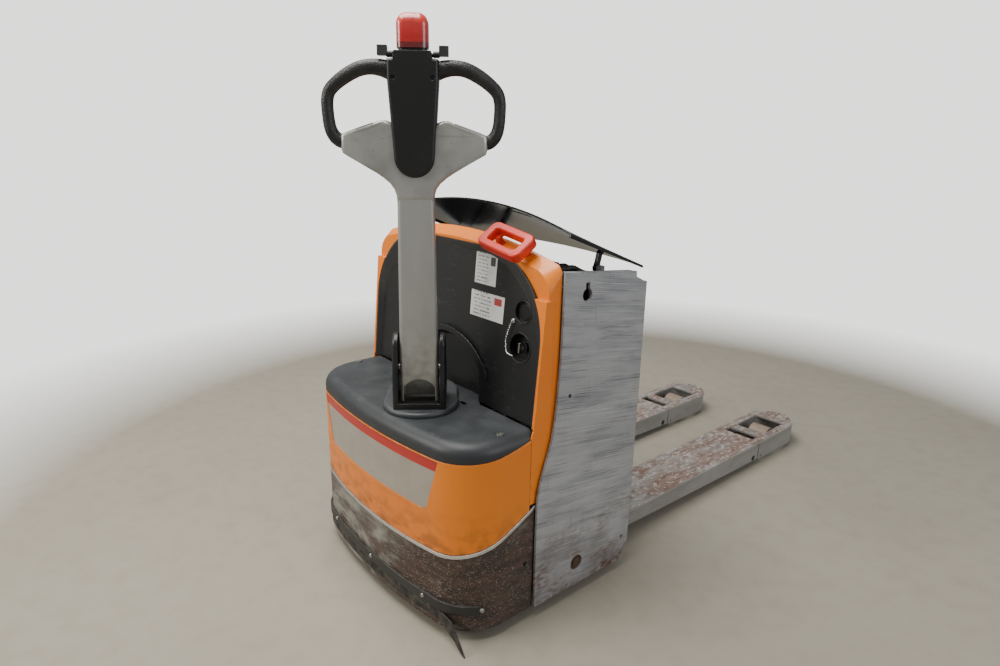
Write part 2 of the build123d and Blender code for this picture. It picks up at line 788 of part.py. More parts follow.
with BuildPart() as steering_cap:
    with BuildSketch(turned.offset(cap_z)):
        Circle(cap_r)
        with Locations((0, -cap_foot)):
            Circle(cap_foot_r)
        with Locations((0, -cap_foot / 2)):
            Rectangle(2 * cap_r, cap_foot)
    extrude(amount=cap_t)
    fillet(steering_cap.edges().group_by(Axis.Z)[-1], 8.0)
save(steering_cap.part, "steering_cap")

# ---------------------------------------------------------------- tiller foot
foot = Plane(
    origin=turned.from_local_coords(Vector(0, -foot_reach, 0)),
    x_dir=turned.x_dir,
    z_dir=turned.z_dir,
)
foot_floor = cap_z + cap_t
yoke_half = 62.0
yoke_in = 49.0
yoke_top = 684.0
yoke_front = 46.0
yoke_back = 66.0
pin_r = 9.0


def across(plane, x, y=0.0, z=0.0):
    """Return a plane square to the tiller's width, at x across it."""
    origin = plane.from_local_coords(Vector(x, y, z))
    return Plane(origin=origin, x_dir=plane.y_dir, z_dir=plane.x_dir)


with BuildPart() as tiller_yoke:
    with BuildSketch(across(foot, 0.0)):
        with BuildLine():
            Polyline((-28, yoke_top - 30), (-yoke_front, 560), (-yoke_front, foot_floor), (yoke_back, foot_floor))
            Polyline((yoke_back, foot_floor), (yoke_back, 580), (34, yoke_top - 24))
            ThreePointArc((34, yoke_top - 24), (4, yoke_top), (-28, yoke_top - 30))
        make_face()
    extrude(amount=yoke_half, both=True)
    fillet(tiller_yoke.edges().filter_by(lambda e: e.center().Z > foot_floor + 1.0), 7.0)
    with BuildSketch(foot.offset(foot_floor + 6.0)):
        with Locations((0, 20.0)):
            Rectangle(2 * yoke_in, 140.0)
    extrude(amount=200.0, mode=Mode.SUBTRACT)
    with BuildSketch(foot.offset(foot_floor + 6.0)):
        with Locations((0, -yoke_front - 3.0)):
            Rectangle(2 * yoke_in, 10.0)
    extrude(amount=200.0, mode=Mode.SUBTRACT)
    with BuildSketch(foot.offset(foot_floor)):
        with Locations((0, -yoke_front + 4.0)):
            Rectangle(2 * yoke_in, 8.0)
    extrude(amount=14.0)
    with BuildSketch(across(foot, 0.0)):
        with Locations((0, pivot_z)):
            Circle(pin_r + slip)
    extrude(amount=yoke_half - 4.0, both=True, mode=Mode.SUBTRACT)
save(tiller_yoke.part, "tiller_yoke")

with BuildPart() as tiller_pin:
    with BuildSketch(across(foot, 0.0)):
        with Locations((0, pivot_z)):
            Circle(pin_r)
    extrude(amount=yoke_half - 4.1, both=True)
save(tiller_pin.part, "tiller_pin")

# ---------------------------------------------------------------- tiller column and head
column_foot = 522.0
column_top = 1006.0
foot_half = 46.0
top_half = 40.0
foot_depth = 50.0
top_depth = 44.0
column_wall = 4.0


def column_section(z, half, depth, radius):
    """Return the column's rounded section at one height."""
    with BuildSketch(foot.offset(z)) as face:
        RectangleRounded(2 * half, depth, radius)
    return face.sketch


with BuildPart() as tiller_column:
    low = column_section(column_foot, foot_half, foot_depth, 9.0)
    high = column_section(column_top, top_half, top_depth, 9.0)
    loft([low, high], ruled=True)
    low = column_section(column_foot - 1.0, foot_half - column_wall, foot_depth - 2 * column_wall, 6.0)
    high = column_section(column_top + 1.0, top_half - column_wall, top_depth - 2 * column_wall, 6.0)
    loft([low, high], ruled=True, mode=Mode.SUBTRACT)
    with BuildSketch(Plane(origin=foot.origin, x_dir=foot.x_dir, z_dir=-foot.y_dir)):
        with BuildLine():
            Polyline((-37, 556), (-37, 500), (37, 500), (37, 556))
            ThreePointArc((37, 556), (0, 577), (-37, 556))
        make_face()
    extrude(amount=60.0, mode=Mode.SUBTRACT)
    with BuildSketch(across(foot, 0.0)):
        with Locations((0, pivot_z)):
            Circle(pin_r + slip)
    extrude(amount=80.0, both=True, mode=Mode.SUBTRACT)
save(tiller_column.part, "tiller_column")

head = Plane(origin=foot.origin, x_dir=foot.x_dir, z_dir=-foot.y_dir)
head_half_t = 24.0
wing_x = 154.0
grip_r = 14.0
cover_half_t = 31.0


def head_cover_face(plane, grow):
    """Return the black centre cover's front view."""
    with BuildSketch(plane) as face:
        with BuildLine():
            Polyline(
                (43 + grow, 1080),
                (53.5 + grow, 1238),
                (53.5 + grow, 1279 + grow),
                (40 + grow, 1281 + grow),
                (38 + grow, 1295 + grow),
                (-38 - grow, 1295 + grow),
                (-40 - grow, 1281 + grow),
                (-53.5 - grow, 1279 + grow),
                (-53.5 - grow, 1238),
                (-43 - grow, 1080),
            )
            ThreePointArc((-43 - grow, 1080), (0, 1040 - grow), (43 + grow, 1080))
        make_face()
    return face.sketch


with BuildPart() as tiller_head:
    with BuildSketch(head.offset(-head_half_t)):
        with BuildLine():
            half = Polyline((40, 990), (41, 1000))
            Spline((41, 1000), (62, 1034), (110, 1066), (wing_x, 1090), tangents=((0.1, 1), (1, 0.5)))
            Line((wing_x, 1090), (wing_x, 1130))
            Spline((wing_x, 1130), (105, 1143), (66, 1158), (50, 1166), tangents=((-1, 0.25), (-1, 0.8)))
            Polyline((50, 1166), (50, 1180), (-50, 1180), (-50, 1166))
            Spline((-50, 1166), (-66, 1158), (-105, 1143), (-wing_x, 1130), tangents=((-1, -0.8), (-1, -0.25)))
            Line((-wing_x, 1130), (-wing_x, 1090))
            Spline((-wing_x, 1090), (-110, 1066), (-62, 1034), (-41, 1000), tangents=((1, -0.5), (0.1, -1)))
            Polyline((-41, 1000), (-40, 990), (40, 990))
        make_face()
    extrude(amount=2 * head_half_t)
    with BuildSketch(across(foot, 200.0)):
        with BuildLine():
            Polyline((-24, 1200), (-40, 1200), (-40, 980), (-24, 980), (-24, 1200))
        make_face()
    extrude(amount=-400.0, mode=Mode.SUBTRACT)
    cut = head_cover_face(head.offset(-cover_half_t - 5.0), 0.1)
    extrude(cut, amount=2 * cover_half_t + 10.0, mode=Mode.SUBTRACT)
    low = column_section(980.0, top_half + 0.6, top_depth + 0.6, 9.0)
    extrude(low, amount=column_top - 980.0 + 0.2, mode=Mode.SUBTRACT)
save(tiller_head.part, "tiller_head")

shaft_z = 1289.0
shaft_r = 4.0
with BuildPart() as head_cover:
    extrude(head_cover_face(head.offset(-cover_half_t), 0.0), amount=2 * cover_half_t)
    faces = head_cover.faces().filter_by(head)
    fillet(faces.edges().filter_by(lambda e: e.center().Z < 1282.0), 7.0)
    with BuildSketch(foot.offset(1295.0)):
        RectangleRounded(59.0, 42.0, 12.0)
    extrude(amount=8.0)
    with BuildSketch(across(foot, 0.0)):
        with Locations((0, shaft_z)):
            Circle(shaft_r + slip)
    extrude(amount=80.0, both=True, mode=Mode.SUBTRACT)
    with BuildSketch(head.offset(cover_half_t - 6.0)):
        with Locations((-41.0, 1243.0), (41.0, 1243.0)):
            Circle(5.0)
    extrude(amount=10.0, mode=Mode.SUBTRACT)
    with BuildSketch(head.offset(-cover_half_t - 1.0)):
        with Locations((-18.0, 1225.0), (18.0, 1225.0)):
            RectangleRounded(22.0, 30.0, 4.0)
        with Locations((0, 1180.0)):
            Circle(10.0)
    extrude(amount=8.0, mode=Mode.SUBTRACT)
save(head_cover.part, "head_cover")

grip_path_z = 1262.0
with BuildPart() as grips:
    for name, s in SIDES:
        with BuildLine(head) as path:
            FilletPolyline(
                (s * 40, grip_path_z),
                (s * 108, grip_path_z + 5.0),
                (s * 183, grip_path_z - 42.0),
                (s * 184, 1142.0),
                (s * 136, 1092.0),
                radius=(60.0, 36.0, 40.0),
            )
        with BuildSketch(across(foot, s * 40.0, 0.0, grip_path_z)):
            Ellipse(grip_r - 1.0, grip_r + 1.5)
        sweep(path=path.line)
    with Locations(head):
        with Locations((0, grip_path_z, 0)):
            Box(2 * 53.6, 100.0, 100.0, mode=Mode.SUBTRACT)
        with Locations((0, 1100.0, 0)):
            Box(2 * wing_x, 120.0, 100.0, mode=Mode.SUBTRACT)
save(grips.part, "grips")

with BuildPart() as reverse_button:
    with BuildSketch(foot.offset(1301.0)):
        RectangleRounded(66.0, 52.0, 16.0)
    extrude(amount=68.0)
    fillet(reverse_button.edges().group_by(Axis.Z)[-1], 22.0)
    with BuildSketch(foot.offset(1301.0)):
        RectangleRounded(60.0, 43.0, 12.5)
    extrude(amount=20.0, mode=Mode.SUBTRACT)
save(reverse_button.part, "reverse_button")

with BuildPart() as butterfly_switch:
    with BuildSketch(across(foot, 0.0)):
        with Locations((0, shaft_z)):
            Circle(shaft_r)
    extrude(amount=56.0, both=True)
    for name, s in SIDES:
        with BuildSketch(across(foot, s * 42.0)):
            with Locations((0, shaft_z + 1.0)):
                Circle(6.5)
        extrude(amount=s * 13.0)
        with BuildSketch(across(foot, s * 54.0)):
            with BuildLine():
                Polyline((-13, shaft_z - 2), (13, shaft_z - 2), (10, shaft_z + 18), (-10, shaft_z + 18), (-13, shaft_z - 2))
            make_face()
        extrude(amount=s * 20.0)
save(butterfly_switch.part, "butterfly_switch")

with BuildPart() as lift_button:
    with BuildSketch(head.offset(-cover_half_t - 2.0)):
        with Locations((-18.0, 1225.0)):
            RectangleRounded(21.4, 29.4, 3.7)
    extrude(amount=5.6)
save(lift_button.part, "lift_button")

with BuildPart() as lower_button:
    with BuildSketch(head.offset(-cover_half_t - 2.0)):
        with Locations((18.0, 1225.0)):
            RectangleRounded(21.4, 29.4, 3.7)
    extrude(amount=5.6)
save(lower_button.part, "lower_button")

with BuildPart() as horn_button:
    with BuildSketch(head.offset(-cover_half_t - 2.0)):
        with Locations((0, 1180.0)):
            Circle(9.7)
    extrude(amount=5.6)
save(horn_button.part, "horn_button")


# ---------------------------------------------------------------- side plates and battery box
plate_in = plate_out - plate_t
plate_foot = 30.0
box_floor = fork_top
box_front_top = 815.0
box_back_top = 790.0
flange_w = 14.0
big_bore = 20.0
cover_hinge_y = face_y - 12.0
cover_hinge_z = 805.0

for name, s in SIDES:
    with BuildPart() as side_plate:
        with BuildSketch(Plane.YZ.offset(s * plate_in)) as face:
            with BuildLine():
                Polyline((face_y - 346.0, plate_foot), (face_y - 346.0, 294.0))
                Spline(
                    (face_y - 346.0, 294.0),
                    (face_y - 306.0, 461.0),
                    (face_y - 292.0, 560.0),
                    (face_y - 284.0, 790.0),
                    tangents=((0, 1), (0, 1)),
                )
                Polyline(
                    (face_y - 284.0, 790.0),
                    (face_y - 283.0, 850.0),
                    (face_y - 42.0, 826.0),
                    (face_y - 40.0, 812.0),
                    (face_y - 14.0, 800.0),
                    (face_y, 796.0),
                    (face_y, 78.0),
                    (face_y - 32.0, plate_foot - 3.0),
                    (face_y - 346.0, plate_foot),
                )
            make_face()
            with Locations((face_y - 202.0, 94.0)):
                Circle(big_bore, mode=Mode.SUBTRACT)
            with Locations((face_y - 253.0, 560.0), (face_y - 27.0, 97.0)):
                Circle(4.5, mode=Mode.SUBTRACT)
            with Locations((face_y - 211.0, 792.0)):
                Circle(15.0, mode=Mode.SUBTRACT)
            with Locations((face_y - 211.0, 809.0)):
                Rectangle(12.0, 22.0, mode=Mode.SUBTRACT)
        extrude(amount=s * plate_t)
        with BuildSketch(Plane.YZ.offset(s * (plate_in - flange_w))):
            with BuildLine():
                Polyline(
                    (face_y - 274.0, 849.1),
                    (face_y - 46.0, 826.4),
                    (face_y - 46.0, 820.4),
                    (face_y - 274.0, 843.1),
                    (face_y - 274.0, 849.1),
                )
            make_face()
        extrude(amount=s * (flange_w + 1.0))
    save(side_plate.part, "side_plate_" + name)

shaft_y = face_y - 110.0
shaft_z0 = 32.0
cross_r = 11.0
bracket_x = (154.0, 238.0)
lug_z = (145.0, 485.0)
knuckle_x = 220.0
knuckle_r = 5.0

with BuildPart() as battery_box:
    with Locations((0, load_front_y + box_wall / 2, (box_floor + box_front_top) / 2)):
        Box(2 * plate_in, box_wall, box_front_top - box_floor)
    with Locations((0, face_y - box_wall / 2, (box_floor + box_back_top) / 2)):
        Box(2 * plate_in, box_wall, box_back_top - box_floor)
    with Locations((0, (load_front_y + face_y) / 2, box_floor + 3.0)):
        Box(2 * plate_in, face_y - load_front_y, 6.0)
    for name, s in SIDES:
        for z in lug_z:
            with Locations((s * post_x, (load_front_y + post_y - 20.0) / 2, z)):
                Box(40.0, load_front_y - post_y + 20.0, 30.0)
            with Locations((s * post_x, post_y, z)):
                Cylinder(post_r + slip, 40.0, mode=Mode.SUBTRACT)
        with Locations((s * (cylinder_x + 2.0), (load_front_y + cylinder_y - 10.0) / 2, ram_top + 5.0)):
            Box(26.0, load_front_y - cylinder_y + 10.0, 10.0)
        for x in bracket_x:
            with Locations((s * x, shaft_y, (box_floor + shaft_z0 - 15.0) / 2)):
                Box(8.0, 36.0, box_floor - shaft_z0 + 15.0)
            with BuildSketch(Plane.YZ.offset(s * x - 5.0)):
                with Locations((shaft_y, shaft_z0)):
                    Circle(cross_r + slip)
            extrude(amount=10.0, mode=Mode.SUBTRACT)
        with Locations((s * knuckle_x, cover_hinge_y, (box_back_top + cover_hinge_z) / 2 - 6.0)):
            Box(14.0, 16.0, cover_hinge_z - box_back_top + 28.0)
        with BuildSketch(Plane.YZ.offset(s * (knuckle_x - 6.0))):
            with Locations((cover_hinge_y, cover_hinge_z)):
                Circle(knuckle_r)
        extrude(amount=-s * 18.0)
save(battery_box.part, "battery_box")

# ---------------------------------------------------------------- battery
tray_half = 312.0
tray_front = load_front_y + box_wall + 8.0
tray_back = face_y - 18.0
tray_wall = 4.0
tray_z = box_floor + 6.0
tray_top = 690.0
cells = 12
cell_pitch = 50.5
cell_w = 49.0
cell_top = 680.0

with BuildPart() as battery:
    with Locations((0, (tray_front + tray_back) / 2, (tray_z + tray_top) / 2)):
        Box(2 * tray_half, tray_back - tray_front, tray_top - tray_z)
    with Locations((0, (tray_front + tray_back) / 2, (tray_z + tray_top) / 2 + tray_wall)):
        Box(
            2 * (tray_half - tray_wall),
            tray_back - tray_front - 2 * tray_wall,
            tray_top - tray_z,
            mode=Mode.SUBTRACT,
        )
    with Locations((0, (tray_front + tray_back) / 2, (tray_z + tray_wall + cell_top) / 2)):
        with GridLocations(cell_pitch, 0, cells, 1):
            Box(cell_w, tray_back - tray_front - 2 * tray_wall - 1.0, cell_top - tray_z - tray_wall)
    with Locations((0, (tray_front + tray_back) / 2, cell_top + 4.0)):
        with GridLocations(cell_pitch, 0, cells, 1):
            Cylinder(11.0, 8.0)
        with GridLocations(cell_pitch, 140.0, cells, 2):
            Cylinder(8.0, 10.0)
save(battery.part, "battery")

plug_x = 262.0
plug_w = 56.0
plug_back = load_front_y + box_wall + 36.0
plug_z = 836.0
cable_r = 7.0
terminal_y = (tray_front + tray_back) / 2 + 70.0
with BuildPart() as battery_cables:
    with Locations((plug_x, load_front_y + box_wall + 18.0, 829.0)):
        Box(plug_w, 36.0, 58.0)
    fillet(battery_cables.edges().filter_by(Axis.X), 4.0)
    for cell in (4.5, 5.5):
        x = plug_x + 28.0 * (cell - 5.0)
        end_x = cell * cell_pitch
        with BuildLine() as path:
            FilletPolyline(
                (x, plug_back - 1.0, plug_z),
                (x, plug_back + 60.0, plug_z),
                (end_x, terminal_y, plug_z - 50.0),
                (end_x, terminal_y, tray_top),
                radius=(38.0, 40.0),
            )
        with BuildSketch(Plane(origin=(x, plug_back - 1.0, plug_z), z_dir=(0, 1, 0))):
            Circle(cable_r)
        sweep(path=path.line)
save(battery_cables.part, "battery_cables")

# ---------------------------------------------------------------- forks
arm_y = tip_y - 350.0
bogie_y = tip_y - 200.0
roller_r = 37.0
roller_half = 35.5
roller_reach = 46.0
roller_bore = 8.0
arm_pin = 10.0
lever_r = 30.0
lever_in = 8.3
lever_t = 6.0
rod_pin = 5.0
arm_length = sqrt((bogie_y - arm_y) ** 2 + (roller_r - shaft_z0) ** 2)
arm_rise = degrees(asin((roller_r - shaft_z0) / arm_length))
arm_turn = arm_rise + degrees(asin((lift_stroke - roller_r + shaft_z0) / arm_length))
lever_angle = arm_turn / 2.0
heel_flange = 38.0
weld_y = tip_y - 317.0
tip_foot = 14.0


def fork_outline(x, inset, end_y):
    """Return the fork's plan view at floor height, moved inwards by inset."""
    half = fork_width / 2 - inset
    with BuildSketch() as face:
        with BuildLine():
            Polyline((x - half, end_y - 108), (x - half, fork_heel_y), (x + half, fork_heel_y), (x + half, end_y - 108))
            Spline((x + half, end_y - 108), (x + half * 0.47, end_y - 18), (x, end_y), tangents=((0, 1), (-1, 0)))
            Spline((x, end_y), (x - half * 0.47, end_y - 18), (x - half, end_y - 108), tangents=((-1, 0), (0, -1)))
        make_face()
    return face.sketch


for name, s in SIDES:
    with BuildPart() as fork:
        extrude(fork_outline(s * fork_mid, 0.0, tip_y), amount=fork_top)
        fillet(fork.edges().group_by(Axis.Z)[-1].filter_by(lambda e: e.center().Y > fork_heel_y + 1.0), 5.0)
        inside = fork_outline(s * fork_mid, fork_flange, tip_y - 62.0)
        extrude(inside, amount=fork_top - fork_plate, mode=Mode.SUBTRACT)
        with BuildSketch(Plane.YZ):
            with BuildLine():
                Polyline(
                    (fork_heel_y - 10.0, -10.0),
                    (fork_heel_y - 10.0, heel_flange),
                    (face_y + 100.0, heel_flange),
                    (weld_y, 19.0),
                    (weld_y, tip_foot),
                    (tip_y - 70.0, tip_foot),
                    (tip_y - 10.0, 32.0),
                    (tip_y + 10.0, 32.0),
                    (tip_y + 10.0, -10.0),
                    (fork_heel_y - 10.0, -10.0),
                )
            make_face()
        extrude(amount=400.0, both=True, mode=Mode.SUBTRACT)
        with BuildSketch(Plane.XY.offset(fork_top - fork_plate - 1.0)):
            with Locations((s * fork_mid, tip_y - 299.0)):
                Rectangle(110.0, 38.0)
            with Locations((s * fork_mid, tip_y - 167.5)):
                RectangleRounded(108.0, 145.0, 13.0)
        extrude(amount=fork_plate + 2.0, mode=Mode.SUBTRACT)
        with Locations((s * fork_mid, face_y, fork_top)):
            Box(fork_width + 2.0, 2.0, 1.0, mode=Mode.SUBTRACT)
        for side in (-1.0, 1.0):
            with Locations((s * fork_mid + side * (fork_width / 2 + 0.5), weld_y, 49.0)):
                Box(3.0, 7.0, 60.0)
            with BuildSketch(Plane.YZ.offset(s * fork_mid + side * fork_width / 2)):
                with Locations((arm_y, shaft_z0)):
                    Circle(arm_pin + slip)
                with Locations((tip_y - 297.0, 27.0)):
                    Circle(4.0)
            extrude(amount=8.0, both=True, mode=Mode.SUBTRACT)
    save(fork.part, "fork_" + name)


# ---------------------------------------------------------------- load wheel linkage
def side_plane(x):
    """Return a vertical plane at x whose drawing axes are +Y and +Z."""
    return Plane(origin=(x, 0, 0), x_dir=(0, 1, 0), z_dir=(1, 0, 0))


def link_face(plane, a, b, ra, rb):
    """Return a flat link: two round ends joined by straight tangent sides."""
    dx = b[0] - a[0]
    dy = b[1] - a[1]
    length = sqrt(dx * dx + dy * dy)
    spread = acos((ra - rb) / length)
    base = atan2(dy, dx)
    sides = []
    for turn in (spread, -spread):
        c = cos(base + turn)
        t = sin(base + turn)
        sides.append(((a[0] + ra * c, a[1] + ra * t), (b[0] + rb * c, b[1] + rb * t)))
    with BuildSketch(plane) as face:
        with BuildLine():
            Polyline(sides[0][0], sides[0][1], sides[1][1], sides[1][0], sides[0][0])
        make_face()
        with Locations(a):
            Circle(ra)
        with Locations(b):
            Circle(rb)
    return face.sketch


def disc(plane, centre, radius):
    """Return a flat disc on a plane."""
    with BuildSketch(plane) as face:
        with Locations(centre):
            Circle(radius)
    return face.sketch


def lever_end(y):
    """Return where a lever's rod pin sits, for a lever that turns about y."""
    a = radians(lever_angle)
    return (y - lever_r * sin(a), shaft_z0 + lever_r * cos(a))


def add_levers(x, y, hub_r):
    """Add the pair of lever plates that carries one end of a push rod."""
    for side in (-1.0, 1.0):
        start = x + side * lever_in
        pair = link_face(side_plane(start), (y, shaft_z0), lever_end(y), hub_r, 9.0)
        extrude(pair, amount=side * lever_t)
        hole = disc(side_plane(start), lever_end(y), rod_pin + slip)
        extrude(hole, amount=side * lever_t, mode=Mode.SUBTRACT)


with BuildPart() as cross_shaft:
    with BuildSketch(Plane.YZ):
        with Locations((shaft_y, shaft_z0)):
            Circle(cross_r)
    extrude(amount=bracket_x[1] + 10.0, both=True)
    for name, s in SIDES:
        add_levers(s * fork_mid, shaft_y, 15.0)
save(cross_shaft.part, "cross_shaft")

for name, s in SIDES:
    x = s * fork_mid
    with BuildPart() as push_rod:
        heel = lever_end(shaft_y)
        toe = lever_end(arm_y)
        with Locations((x, (heel[0] + toe[0]) / 2, heel[1])):
            Box(2 * lever_in - 0.6, toe[0] - heel[0], 12.0)
        with BuildSketch(side_plane(x)):
            with Locations(heel, toe):
                Circle(9.0)
        extrude(amount=lever_in - 0.3, both=True)
        with BuildSketch(side_plane(x)):
            with Locations(heel, toe):
                Circle(rod_pin)
        extrude(amount=lever_in + lever_t, both=True)
    save(push_rod.part, "push_rod_" + name)

    plate_x = 44.0
    with BuildPart() as load_arm:
        with BuildSketch(side_plane(x)):
            with Locations((arm_y, shaft_z0)):
                Circle(arm_pin)
        extrude(amount=fork_width / 2, both=True)
        for side in (-1.0, 1.0):
            start = side_plane(x + side * plate_x)
            plate = link_face(start, (arm_y, shaft_z0), (bogie_y, roller_r), 15.0, 14.0)
            extrude(plate, amount=side * 7.0)
        with BuildSketch(side_plane(x)):
            with Locations((bogie_y, roller_r)):
                Circle(roller_bore)
        extrude(amount=plate_x + 7.0, both=True)
        add_levers(x, arm_y, 13.0)
    save(load_arm.part, "load_arm_" + name)

    with BuildPart() as bogie:
        for side in (-1.0, 1.0):
            start = side_plane(x + side * (plate_x - 7.5))
            ends = ((bogie_y - roller_reach, roller_r), (bogie_y + roller_reach, roller_r))
            plate = link_face(start, ends[0], ends[1], 17.0, 16.9)
            extrude(plate, amount=side * 7.0)
        with BuildSketch(side_plane(x)):
            with Locations((bogie_y, roller_r)):
                Circle(roller_bore + slip)
        extrude(amount=60.0, both=True, mode=Mode.SUBTRACT)
        with BuildSketch(side_plane(x)):
            with Locations((bogie_y - roller_reach, roller_r), (bogie_y + roller_reach, roller_r)):
                Circle(roller_bore)
        extrude(amount=plate_x - 0.5, both=True)
    save(bogie.part, "bogie_" + name)

    for end, side in (("rear", -1.0), ("front", 1.0)):
        with BuildPart() as roller:
            with BuildSketch(side_plane(x)):
                with Locations((bogie_y + side * roller_reach, roller_r)):
                    Circle(roller_r)
                    Circle(roller_bore + slip, mode=Mode.SUBTRACT)
            extrude(amount=roller_half, both=True)
            rims = roller.edges().filter_by(GeomType.CIRCLE).filter_by(lambda e: e.radius > 30.0)
            fillet(rims, 2.5)
        save(roller.part, "roller_" + name + "_" + end)

# ---------------------------------------------------------------- battery cover
cover_half = 346.0
cover_wall = 4.0
cover_open = 15.5  # angle at which the cover stands open
cover_front_y = mast_y + 2.0
cover_back_y = face_y - 8.0
ear_x = 200.0

with BuildPart() as battery_cover:
    front = bowed(Plane.XZ.offset(-cover_front_y), cover_half, hoop_top - 2.0, 851.0, 8.0)
    back = bowed(Plane.XZ.offset(-cover_back_y), cover_half, 852.0, 828.5, 2.0, 3400.0)
    loft([front, back], ruled=True)
    inner_half = cover_half - cover_wall
    front = bowed(Plane.XZ.offset(-cover_front_y + 1.0), inner_half, hoop_top - 6.0, 820.0, 5.0)
    back = bowed(Plane.XZ.offset(-cover_back_y - 1.0), inner_half, 848.0, 810.0, 2.0, 3400.0)
    loft([front, back], ruled=True, mode=Mode.SUBTRACT)
    with BuildSketch(Plane.XY.offset(840.0)):
        with Locations((146.0, cover_front_y + 28.0)):
            SlotOverall(72.0, 14.0)
    extrude(amount=100.0, mode=Mode.SUBTRACT)
    for name, s in SIDES:
        with BuildSketch(side_plane(s * ear_x)):
            with Locations((cover_hinge_y, cover_hinge_z)):
                Circle(9.5)
            with Locations((cover_hinge_y, cover_hinge_z + 20.0)):
                Rectangle(14.0, 42.0)
            with Locations((cover_hinge_y, cover_hinge_z)):
                Circle(knuckle_r + slip, mode=Mode.SUBTRACT)
        extrude(amount=s * 10.0)
hinge = Axis((0, cover_hinge_y, cover_hinge_z), (-1, 0, 0))
opened = battery_cover.part.rotate(hinge, cover_open)
save(opened, "battery_cover")
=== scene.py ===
"""Looks of an electric pallet truck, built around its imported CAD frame."""

import json
import logging
import math
from dataclasses import dataclass
from enum import Enum
from functools import partial
from typing import Any, Callable, Optional, Sequence

import bmesh
import bpy
from mathutils import Matrix, Vector

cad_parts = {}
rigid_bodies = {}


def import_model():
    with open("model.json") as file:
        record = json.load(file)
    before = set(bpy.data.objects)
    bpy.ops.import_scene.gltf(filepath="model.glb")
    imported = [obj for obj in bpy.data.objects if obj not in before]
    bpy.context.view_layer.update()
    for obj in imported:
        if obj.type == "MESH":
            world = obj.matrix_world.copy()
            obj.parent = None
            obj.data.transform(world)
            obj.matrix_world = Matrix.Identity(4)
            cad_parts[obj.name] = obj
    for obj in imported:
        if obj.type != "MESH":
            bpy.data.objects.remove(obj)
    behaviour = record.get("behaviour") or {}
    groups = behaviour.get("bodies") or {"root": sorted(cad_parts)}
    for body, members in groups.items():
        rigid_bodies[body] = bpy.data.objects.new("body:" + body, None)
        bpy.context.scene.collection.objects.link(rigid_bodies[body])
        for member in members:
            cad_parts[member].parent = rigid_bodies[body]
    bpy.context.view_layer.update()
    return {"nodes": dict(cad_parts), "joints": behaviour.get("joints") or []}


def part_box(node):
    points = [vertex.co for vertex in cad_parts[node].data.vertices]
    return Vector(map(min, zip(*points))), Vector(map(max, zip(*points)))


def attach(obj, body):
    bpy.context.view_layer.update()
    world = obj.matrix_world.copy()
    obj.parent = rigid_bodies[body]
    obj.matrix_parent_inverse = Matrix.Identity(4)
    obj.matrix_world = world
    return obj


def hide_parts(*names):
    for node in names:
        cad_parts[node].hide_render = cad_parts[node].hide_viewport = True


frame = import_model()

log = logging.getLogger("pallet_truck")

MM = 0.001
Colour = tuple[float, float, float, float]
Point2 = tuple[float, float]


def linear(hex_colour: str) -> Colour:
    """Turn an sRGB hex colour into linear light.

    Args:
        hex_colour: Six hex digits after a hash sign.

    Returns:
        Red, green, blue and an alpha of one.
    """
    channels = []
    for start in (1, 3, 5):
        value = int(hex_colour[start : start + 2], 16) / 255.0
        low = value / 12.92
        high = ((value + 0.055) / 1.055) ** 2.4
        channels.append(low if value <= 0.04045 else high)
    return (channels[0], channels[1], channels[2], 1.0)


def add_node(
    tree: bpy.types.NodeTree, kind: str, inputs: Optional[dict] = None, out: Any = 0, **settings: Any
) -> Any:
    """Add a node with its settings and links.

    Args:
        tree: The tree that it goes into.
        kind: The node's type.
        inputs: Socket name or index to a value or to another node's output.
        out: The output to return, or None for the node itself.
        settings: Node properties to set first.

    Returns:
        The chosen output socket, or the node.
    """
    node = tree.nodes.new(kind)
    for key, value in settings.items():
        setattr(node, key, value)
    for key, value in (inputs or {}).items():
        if isinstance(value, bpy.types.NodeSocket):
            tree.links.new(value, node.inputs[key])
        else:
            node.inputs[key].default_value = value
    return node if out is None else node.outputs[out]


# ------------------------------------------------------------------ materials


class Along(Enum):
    """Direction that a streaked pattern runs in."""

    WIDTH = 0
    LENGTH = 1
    HEIGHT = 2


